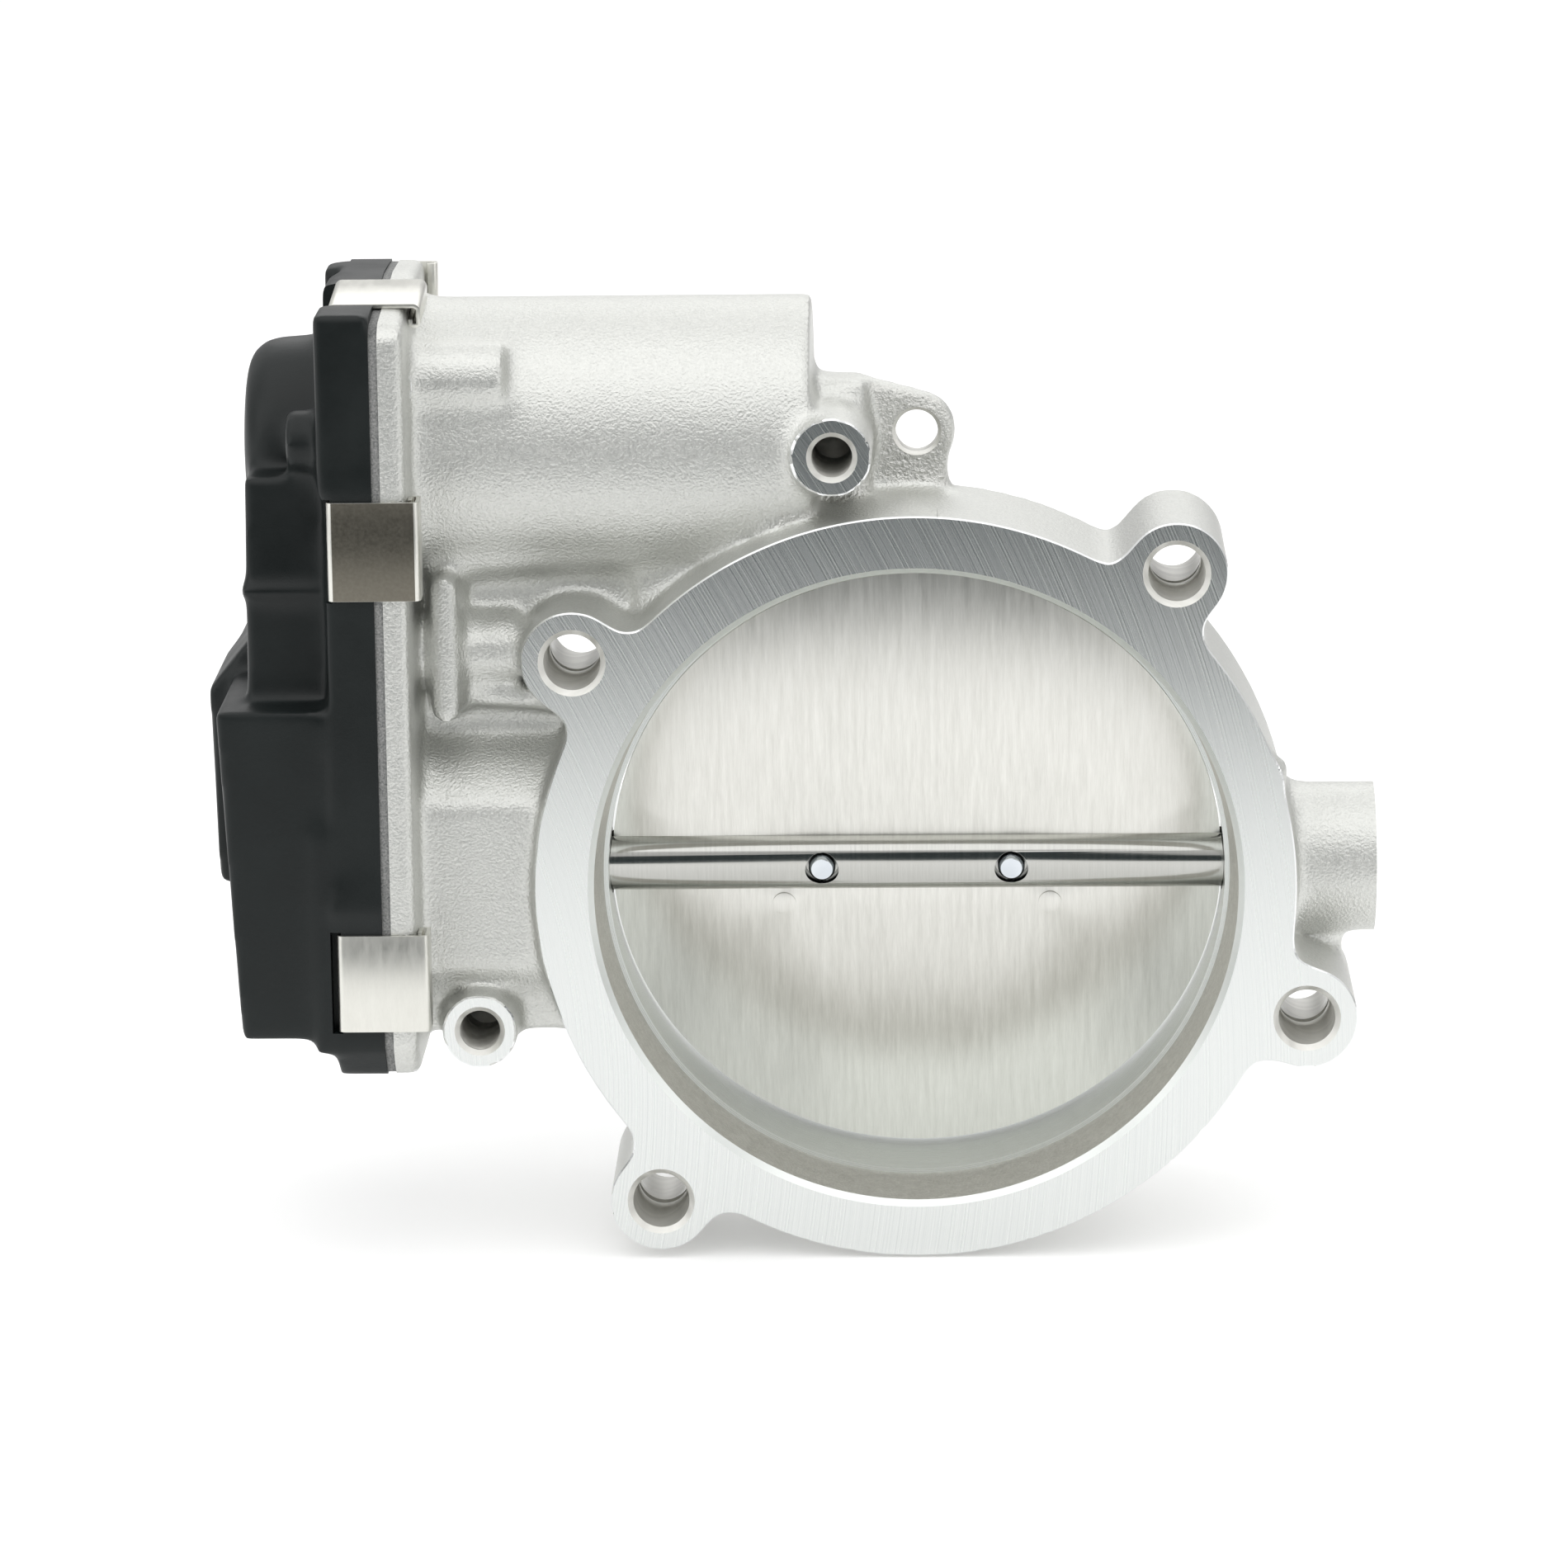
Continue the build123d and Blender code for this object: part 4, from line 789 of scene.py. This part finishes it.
# %% Housing finishes
cast_metal = finish("cast_aluminium_skin", grain, {"Size mm": 0.42, "Coarse share": 0.25},
                    ((0.62, 0.625, 0.60), (0.755, 0.76, 0.73)), (0.42, 0.50), (1.0, 0.17),
                    tone="Height", span=(0.45, 1.05))
sand_metal = finish("cast_rough_skin", grain, {"Size mm": 0.55, "Coarse share": 0.8},
                    ((0.56, 0.56, 0.535), (0.78, 0.78, 0.75)), (0.42, 0.55), (1.0, 0.36),
                    tone="Height", span=(0.5, 1.3))
mouth_metal = finish("cast_bore_mouth", grain, {"Size mm": 0.4, "Coarse share": 0.8},
                     ((0.50, 0.495, 0.455), (0.70, 0.695, 0.65)), (0.5, 0.65), (1.0, 0.2),
                     tone="Height", span=(0.5, 1.3))
milled_metal = finish("milled_face", rings,
                      {"Centre X mm": -160.0, "Centre Z mm": -30.0, "Spacing mm": 0.24},
                      ((0.67, 0.69, 0.68), (0.80, 0.815, 0.80)), (0.19, 0.28), (0.3, 0.016),
                      tone="Height")
bored_metal = finish("bored_wall", rings, {"Spacing mm": 0.12, "Depth": 1.0},
                     ((0.70, 0.73, 0.71), (0.79, 0.81, 0.79)), (0.27, 0.36), (0.2, 0.012),
                     tone="Height")
drilled_metal = finish("drilled_wall", rings, {"Spacing mm": 0.3, "Depth": 1.0},
                       ((0.62, 0.615, 0.58), (0.76, 0.755, 0.72)), (0.3, 0.45), (0.4, 0.03),
                       tone="Tone", metallic=0.8)
edge_metal = surface("cut_edge", (0.80, 0.81, 0.81), 0.22, metallic=1.0)
print("housing finishes ready")

# %% [markdown]
# ## Broken edges and regions
# A milled face ends in a narrow bright line, where its sharp edge was broken. That line is
# real shape here: the skin is cut just below each milled face, and the face's own border is
# drawn in a little. Each face of the mesh then gets the finish of its region, which is told
# by where the face is and which way it looks.

# %% Broken edges
EDGE_DEPTH, EDGE_IN = 0.28, 0.22
MILLED_FACES = (0.0, TOP_BOSS_FACE, LOW_BOSS_FACE)
FLAT_NORMAL = 0.999  # a normal this close to an axis belongs to a flat, cut face


def break_edge(piece, face_y):
    """Cuts a narrow chamfer where a milled face at this depth meets the cast skin."""
    mesh = bmesh.new()
    mesh.from_mesh(piece.data)
    bmesh.ops.triangulate(mesh, faces=[f for f in mesh.faces if len(f.verts) > 4])
    skin = []
    for face in mesh.faces:
        centre = face.calc_center_median()
        clear_of_bore = abs(centre.xz.length / MM - BORE_R - 1) > 3.5
        if abs(face.normal.y) < 0.85 and centre.y < 4 * MM and clear_of_bore:
            skin.append(face)
    around = {e for f in skin for e in f.edges} | {v for f in skin for v in f.verts} | set(skin)
    bmesh.ops.bisect_plane(mesh, geom=list(around), plane_co=(0, (face_y + EDGE_DEPTH) * MM, 0),
                           plane_no=(0, 1, 0), dist=0.02 * MM)
    moves = {}
    for vertex in mesh.verts:
        if abs(vertex.co.y / MM - face_y) > 0.005:
            continue
        flats = [f for f in vertex.link_faces if f.normal.y < -FLAT_NORMAL]
        walls = [f for f in vertex.link_faces if abs(f.normal.y) < 0.85]
        if flats and walls:
            aim = sum((f.normal * f.calc_area() for f in walls), Vector())
            aim.y = 0
            moves[vertex] = aim.normalized() * -EDGE_IN * MM
    hole_edges = [(hole, BOLT_R + 1.6) for hole in bolt_holes] + [((0, 0, 0), BORE_R + 4)]
    hole_edges += [(top_boss, THREAD_R + 1.4), (low_boss, THREAD_R + 1.4)]
    for vertex, move in moves.items():
        near_hole = any(math.hypot(vertex.co.x / MM - h[0], vertex.co.z / MM - h[2]) < reach
                        for h, reach in hole_edges)
        if not near_hole:
            vertex.co += move
    mesh.to_mesh(piece.data)
    mesh.free()


before = len(casting.data.polygons)
for depth in MILLED_FACES:
    break_edge(casting, depth)
print("faces added by the broken edges:", len(casting.data.polygons) - before)

# %% Housing regions
REGION = {"cast": 0, "milled": 1, "bored": 2, "mouth": 3, "drilled": 4, "sand": 5, "edge": 6}
CLOSE = 0.02  # how near to a plane, in mm, a face counts as lying in it


def face_arrays(mesh):
    """Centres in millimetres and normals of every face."""
    centres, normals = (np.empty(len(mesh.polygons) * 3) for _ in range(2))
    mesh.polygons.foreach_get("center", centres)
    mesh.polygons.foreach_get("normal", normals)
    return centres.reshape(-1, 3) / MM, normals.reshape(-1, 3)


centres, normals = face_arrays(casting.data)
x, y, z = centres.T
region = np.zeros(len(centres), int)
from_bore = np.hypot(x, z)
inward = (normals[:, 0] * x + normals[:, 2] * z) < -0.5 * from_bore
in_bore = (from_bore < BORE_R + 2.6) & (y > -0.01)
region[in_bore] = REGION["bored"]
in_mouth = in_bore & inward & (y > 0.9) & (y < MOUTH_DEPTH) & (from_bore > BORE_R + 0.45)
region[in_mouth] = REGION["mouth"]
for face in MILLED_FACES:
    region[(normals[:, 1] < -FLAT_NORMAL) & (np.abs(y - face) < CLOSE)] = REGION["milled"]
region[(normals[:, 1] > FLAT_NORMAL) & (np.abs(y - snout_end) < CLOSE)] = REGION["milled"]
for face in (housing_high[0], gear_face):
    region[np.abs(x - face) < CLOSE] = REGION["milled"]
hole_list = [(hole, BOLT_R + 1.0) for hole in bolt_holes]
hole_list += [(top_boss, THREAD_R + 0.8), (low_boss, THREAD_R + 0.8), (lug_hole, LUG_R + 0.6)]
for hole, reach in hole_list:
    near = np.hypot(x - hole[0], z - hole[2]) < reach
    region[near & (normals[:, 1] > -FLAT_NORMAL)] = REGION["drilled"]
pillar = (x > -20) & (x < -6) & (z < 60) & (z > 52) & (y > 5) & (normals[:, 1] < -0.3)
lug_face = (x > -6.6) & (x < 7) & (z > 55) & (y > 20.5) & (y < 22) & (normals[:, 1] < -0.6)
region[(region == REGION["cast"]) & (pillar | lug_face)] = REGION["sand"]
rim = (normals[:, 1] < -0.4) & (normals[:, 1] > -0.95)
rim &= (x > -54.3) | (np.abs(z - 2) > 19)  # the neck meets the flange here, with no edge
for depth in MILLED_FACES:
    on_rim = rim & (region == REGION["cast"]) & (y > depth) & (y < depth + EDGE_DEPTH)
    region[on_rim] = REGION["edge"]
print({name: int((region == n).sum()) for name, n in REGION.items()})

# %% [markdown]
# ## Painting the housing and handing the pieces over
# The regions' numbers pick the materials in the order in which they are painted on. Cut faces
# are shaded flat and the rest smooth. Then each new piece is parented to the empty of the moving
# body it rides on, so that it turns when the throttle turns.

# %% Paint and hand over
paint(casting, cast_metal, milled_metal, bored_metal, mouth_metal, drilled_metal, sand_metal,
      edge_metal)
casting.data.polygons.foreach_set("material_index", region)
for piece in (casting, cover):
    piece.data.shade_smooth()
    piece.data.set_sharp_from_angle(angle=math.radians(32))
cut_faces = np.isin(region, (REGION["milled"], REGION["edge"]))
casting.data.polygons.foreach_set("use_smooth", ~cut_faces)
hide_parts("throttle_housing")
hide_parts("gear_cover")
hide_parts("cover_clips")
for piece, body in ((casting, "housing"), (cover, "housing"), (clips, "housing"),
                    (gasket, "housing"), (plate, "throttle"), (shaft, "throttle"),
                    (screws, "throttle")):
    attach(piece, body)
print("pieces handed over: 7")

# %% [markdown]
# ## Finishes of the other visible pieces
# The cover is matte black with a fine moulded texture. The clips are bright rolled steel, but the
# front face of the middle front clip is painted dark brown, a painted dark reflection. The plate
# is brushed up and down, and the shaft is ground to a near mirror.

# %% Other visible finishes
nylon = finish("black_nylon", grain, {"Size mm": 0.22, "Coarse share": 1.0},
               ((0.0028, 0.0052, 0.0052), (0.0055, 0.0088, 0.0088)), (0.36, 0.48), (0.5, 0.03),
               metallic=0.0)
nylon.node_tree.nodes["Principled BSDF"].inputs["Specular IOR Level"].default_value = 0.33
gasket_grey = finish("gasket_fibre", grain, {"Size mm": 0.3, "Coarse share": 0.3},
                     ((0.10, 0.105, 0.105), (0.32, 0.32, 0.31)), (0.6, 0.85), (0.8, 0.06),
                     metallic=0.0, tone="Height", span=(0.45, 0.9))
rolled_steel = finish("rolled_spring_steel", streaks, {"Across per mm": 5.0, "Along per mm": 1.2},
                      ((0.70, 0.695, 0.645), (0.77, 0.765, 0.715)), (0.30, 0.38), (0.15, 0.01),
                      tone="Tone")
# Dark brown for the middle front clip's front face: a painted dark reflection, not the steel's own
# colour.
clip_painted_reflection = finish("spring_steel_painted_dark_reflection", grain, {"Size mm": 0.5},
                        ((0.15, 0.14, 0.115), (0.19, 0.178, 0.148)), (0.34, 0.42), (0.2, 0.02),
                        tone="Height", span=(0.4, 1.0))
brushed_sheet = finish("brushed_sheet", streaks, {"Across per mm": 6.0, "Along per mm": 0.5},
                       ((0.64, 0.635, 0.595), (0.80, 0.795, 0.755)), (0.29, 0.36), (0.6, 0.016),
                       tone="Tone")
ground_steel = finish("ground_steel", streaks, {"Across per mm": 14.0, "Along per mm": 0.5},
                      ((0.46, 0.46, 0.435), (0.54, 0.54, 0.515)), (0.10, 0.17), (0.2, 0.005),
                      tone="Tone")
zinc = finish("zinc_plate", grain, {"Size mm": 0.25, "Coarse share": 0.6},
              ((0.62, 0.66, 0.70), (0.80, 0.83, 0.86)), (0.16, 0.32), (0.5, 0.03))
paint(cover, nylon)
paint(gasket, gasket_grey)
paint(clips, rolled_steel, clip_painted_reflection)
centres, normals = face_arrays(clips.data)
# Mask of the middle front clip's front-facing faces, which get the painted dark reflection.
painted_reflection_faces = (normals[:, 1] < -0.98) & (np.abs(centres[:, 2] - front_clips[0]) < CLIP_W / 2 + 1.7)
clips.data.polygons.foreach_set("material_index", painted_reflection_faces.astype(int))
paint(plate, brushed_sheet)
paint(shaft, ground_steel)
paint(screws, zinc)
for piece in (plate, shaft, screws, gasket, clips):
    piece.data.shade_smooth()
    piece.data.set_sharp_from_angle(angle=math.radians(40))
print("materials so far:", len(bpy.data.materials))

# %% [markdown]
# ## Finishes of the hidden works
# The gears, motor, bearings and sensor sit behind the cover, yet anyone who takes the cover off
# should find them finished. Each keeps its drawn mesh and gets a material of its kind.

# %% Hidden finishes
def plain(name, low, high, rough, metallic=1.0, size=0.3, strength=0.3):
    """Finish of one tone, with a fine grain of the given size in mm."""
    return finish(name, grain, {"Size mm": size}, (low, high), rough, (strength, 0.02),
                  metallic=metallic)


hidden = {
    "drive_bearing": plain("bearing_steel", (0.55, 0.55, 0.56), (0.66, 0.66, 0.67), (0.15, 0.25)),
    "shaft_seal": plain("seal_rubber", (0.012, 0.012, 0.012), (0.03, 0.03, 0.03),
                        (0.5, 0.7), 0.0),
    "end_plug": plain("zinc_plug", (0.58, 0.60, 0.62), (0.74, 0.76, 0.78), (0.2, 0.35)),
    "spring_sleeve": plain("natural_nylon", (0.62, 0.60, 0.52), (0.72, 0.70, 0.62),
                           (0.4, 0.55), 0.0),
    "return_spring": plain("spring_wire", (0.40, 0.40, 0.41), (0.55, 0.55, 0.56), (0.2, 0.35)),
    "sector_gear": plain("dark_gear_nylon", (0.02, 0.02, 0.022), (0.04, 0.04, 0.043),
                         (0.4, 0.55), 0.0),
    "motor_pinion": plain("sintered_steel", (0.34, 0.33, 0.31), (0.48, 0.47, 0.45),
                          (0.4, 0.55), 1.0, 0.2, 0.6),
    "motor_magnets": plain("magnet_ferrite", (0.035, 0.033, 0.032), (0.06, 0.058, 0.055),
                           (0.5, 0.7), 0.0),
    "windings": plain("winding_copper", (0.62, 0.30, 0.16), (0.80, 0.42, 0.24),
                      (0.25, 0.4), 1.0, 0.5, 0.8),
    "armature": plain("lamination_steel", (0.30, 0.30, 0.31), (0.42, 0.42, 0.43), (0.4, 0.55)),
    "sensor_board": plain("circuit_board", (0.01, 0.09, 0.05), (0.02, 0.13, 0.07),
                          (0.35, 0.5), 0.0),
    "sensor_chip": plain("chip_epoxy", (0.01, 0.01, 0.011), (0.02, 0.02, 0.022),
                         (0.35, 0.5), 0.0),
    "connector_pins": plain("tin_plate", (0.66, 0.66, 0.64), (0.78, 0.78, 0.76), (0.2, 0.32)),
    "motor_bushings": plain("sintered_bronze", (0.50, 0.36, 0.18), (0.62, 0.46, 0.25),
                            (0.35, 0.5), 1.0, 0.2, 0.6),
    "intermediate_pin": ground_steel,
    "motor_can": zinc,
}
same_as = {
    "end_bearing": "drive_bearing", "sector_insert": "end_plug",
    "sensor_magnets": "motor_magnets", "intermediate_gear": "spring_sleeve",
    "motor_end_cap": "motor_can", "motor_shaft": "intermediate_pin",
    "commutator": "windings", "motor_screws": "motor_can", "wave_washer": "return_spring",
    "motor_terminals": "connector_pins",
}
hidden.update({node: hidden[like] for node, like in same_as.items()})
for node, material in hidden.items():
    paint(frame["nodes"][node], material)
print("hidden nodes dressed:", len(hidden))

# %% [markdown]
# ## The floor and two dark cards
# The part stands on a plain white floor that runs out to the white of the backdrop. Bright
# metal shows what it reflects, so a dark card lies on the floor in front and a dark wall
# stands behind it. Neither can be seen or throws a shadow, but their reflections give the
# upper flange its darker tone.

# %% Floor and cards
def card(name, material, centre, width, depth, tilt=0.0):
    mesh = bpy.data.meshes.new(name)
    w, d = width / 2, depth / 2
    mesh.from_pydata([(-w, -d, 0), (w, -d, 0), (w, d, 0), (-w, d, 0)], [], [(0, 1, 2, 3)])
    mesh.materials.append(material)
    sheet = bpy.data.objects.new(name, mesh)
    sheet.location, sheet.rotation_euler = centre, (tilt, 0, 0)
    into_scene(sheet)
    return sheet


floor_z = housing_low[2] * MM - 0.0002
floor_white = surface("floor_white", (0.86, 0.86, 0.86), 0.7)
floor_shader = floor_white.node_tree.nodes["Principled BSDF"]
floor_shader.inputs["Emission Color"].default_value = (1, 1, 1, 1)
floor_shader.inputs["Emission Strength"].default_value = 0.24
card("floor", floor_white, (0, 0, floor_z), 5, 5)
card_dark = surface("card_dark", (0.02, 0.032, 0.036), 0.9)
CARD_WIDTH = 2.2
dark_card = card("dark_card", card_dark, (0, -0.73, floor_z + 0.004), CARD_WIDTH, 0.74)
dark_wall = card("dark_wall", card_dark, (0, -1.12, 0.09), CARD_WIDTH, 0.30, math.pi / 2)
for sheet in (dark_card, dark_wall):
    sheet.visible_camera = False
    sheet.visible_shadow = False
    sheet.visible_diffuse = False
print("floor at Z", round(floor_z, 4))


# %% [markdown]
# ## Lights and backdrop
# One large soft light above and in front does most of the work, with smaller ones at both
# sides and one behind for the outlines. The backdrop is a white room that is a little darker
# near the ground. Only the camera sees it as plain white.

# %% Lights
def softbox(name, place_at, aim, width, height, watts):
    lamp = bpy.data.lights.new(name, "AREA")
    lamp.shape, lamp.size, lamp.size_y = "RECTANGLE", width, height
    lamp.energy = watts
    box = bpy.data.objects.new(name, lamp)
    box.location = place_at
    direction = Vector(aim) - Vector(place_at)
    box.rotation_mode = "QUATERNION"
    box.rotation_quaternion = direction.to_track_quat("-Z", "Y")
    into_scene(box)


softbox("key_above", (-0.1, -0.5, 1.15), (0, 0, 0), 2.0, 1.8, 7.5)
softbox("left_fill", (-1.2, -0.6, 0.5), (0, 0, 0.02), 0.9, 0.9, 2.2)
softbox("right_fill", (1.2, -0.6, 0.5), (0, 0, 0.02), 0.9, 0.9, 1.8)
softbox("back_rim", (0.2, 1.1, 0.9), (0, 0, 0.02), 1.4, 0.8, 3)

world = bpy.data.worlds.new("studio")
bpy.context.scene.world = world
world.use_nodes = True
sky = world.node_tree
backdrop = sky.nodes["Background"]
ray = sky.nodes.new("ShaderNodeLightPath")
direction = sky.nodes.new("ShaderNodeTexCoord")
height = sky.nodes.new("ShaderNodeSeparateXYZ")
sky.links.new(direction.outputs["Generated"], height.inputs[0])
room = ramp(sky, height.outputs[2], 0.50, 0.90, 0.0, 0.6)
backdrop.inputs["Color"].default_value = (1, 1, 1, 1)
shown = sky.nodes.new("ShaderNodeMix")
sky.links.new(ray.outputs["Is Camera Ray"], shown.inputs[0])
sky.links.new(room, shown.inputs[2])
shown.inputs[3].default_value = 1.05
sky.links.new(shown.outputs[0], backdrop.inputs["Strength"])
bpy.context.scene.view_settings.view_transform = "Standard"
print("lights:", [lamp.name for lamp in bpy.data.lights])

# %% [markdown]
# ## The camera
# The camera stands a metre in front of the bore and looks down on it a little, with a long
# lens, so that round things stay round. It is turned and tilted by a degree or so, as
# a camera on a tripod is.

# %% Camera
CAMERA_AT = (0.0081, -1.0259, 0.2511)
PITCH, YAW, ROLL = (math.radians(angle) for angle in (12.887, -1.529, -0.697))
FOCAL_LENGTH, SENSOR_WIDTH = 164.23, 36
forward = Vector((math.sin(YAW) * math.cos(PITCH), math.cos(YAW) * math.cos(PITCH),
                  -math.sin(PITCH)))
level = Vector((math.cos(YAW), -math.sin(YAW), 0))
upright = level.cross(forward)
right = level * math.cos(ROLL) + upright * math.sin(ROLL)
up = -level * math.sin(ROLL) + upright * math.cos(ROLL)
lens = bpy.data.cameras.new("camera")
lens.lens, lens.sensor_width, lens.clip_start = FOCAL_LENGTH, SENSOR_WIDTH, 0.05
camera = bpy.data.objects.new("camera", lens)
turned_to = Matrix((right, up, -forward)).transposed().to_4x4()
camera.matrix_world = Matrix.Translation(CAMERA_AT) @ turned_to
into_scene(camera)
bpy.context.scene.camera = camera
print("focal length in mm:", FOCAL_LENGTH)
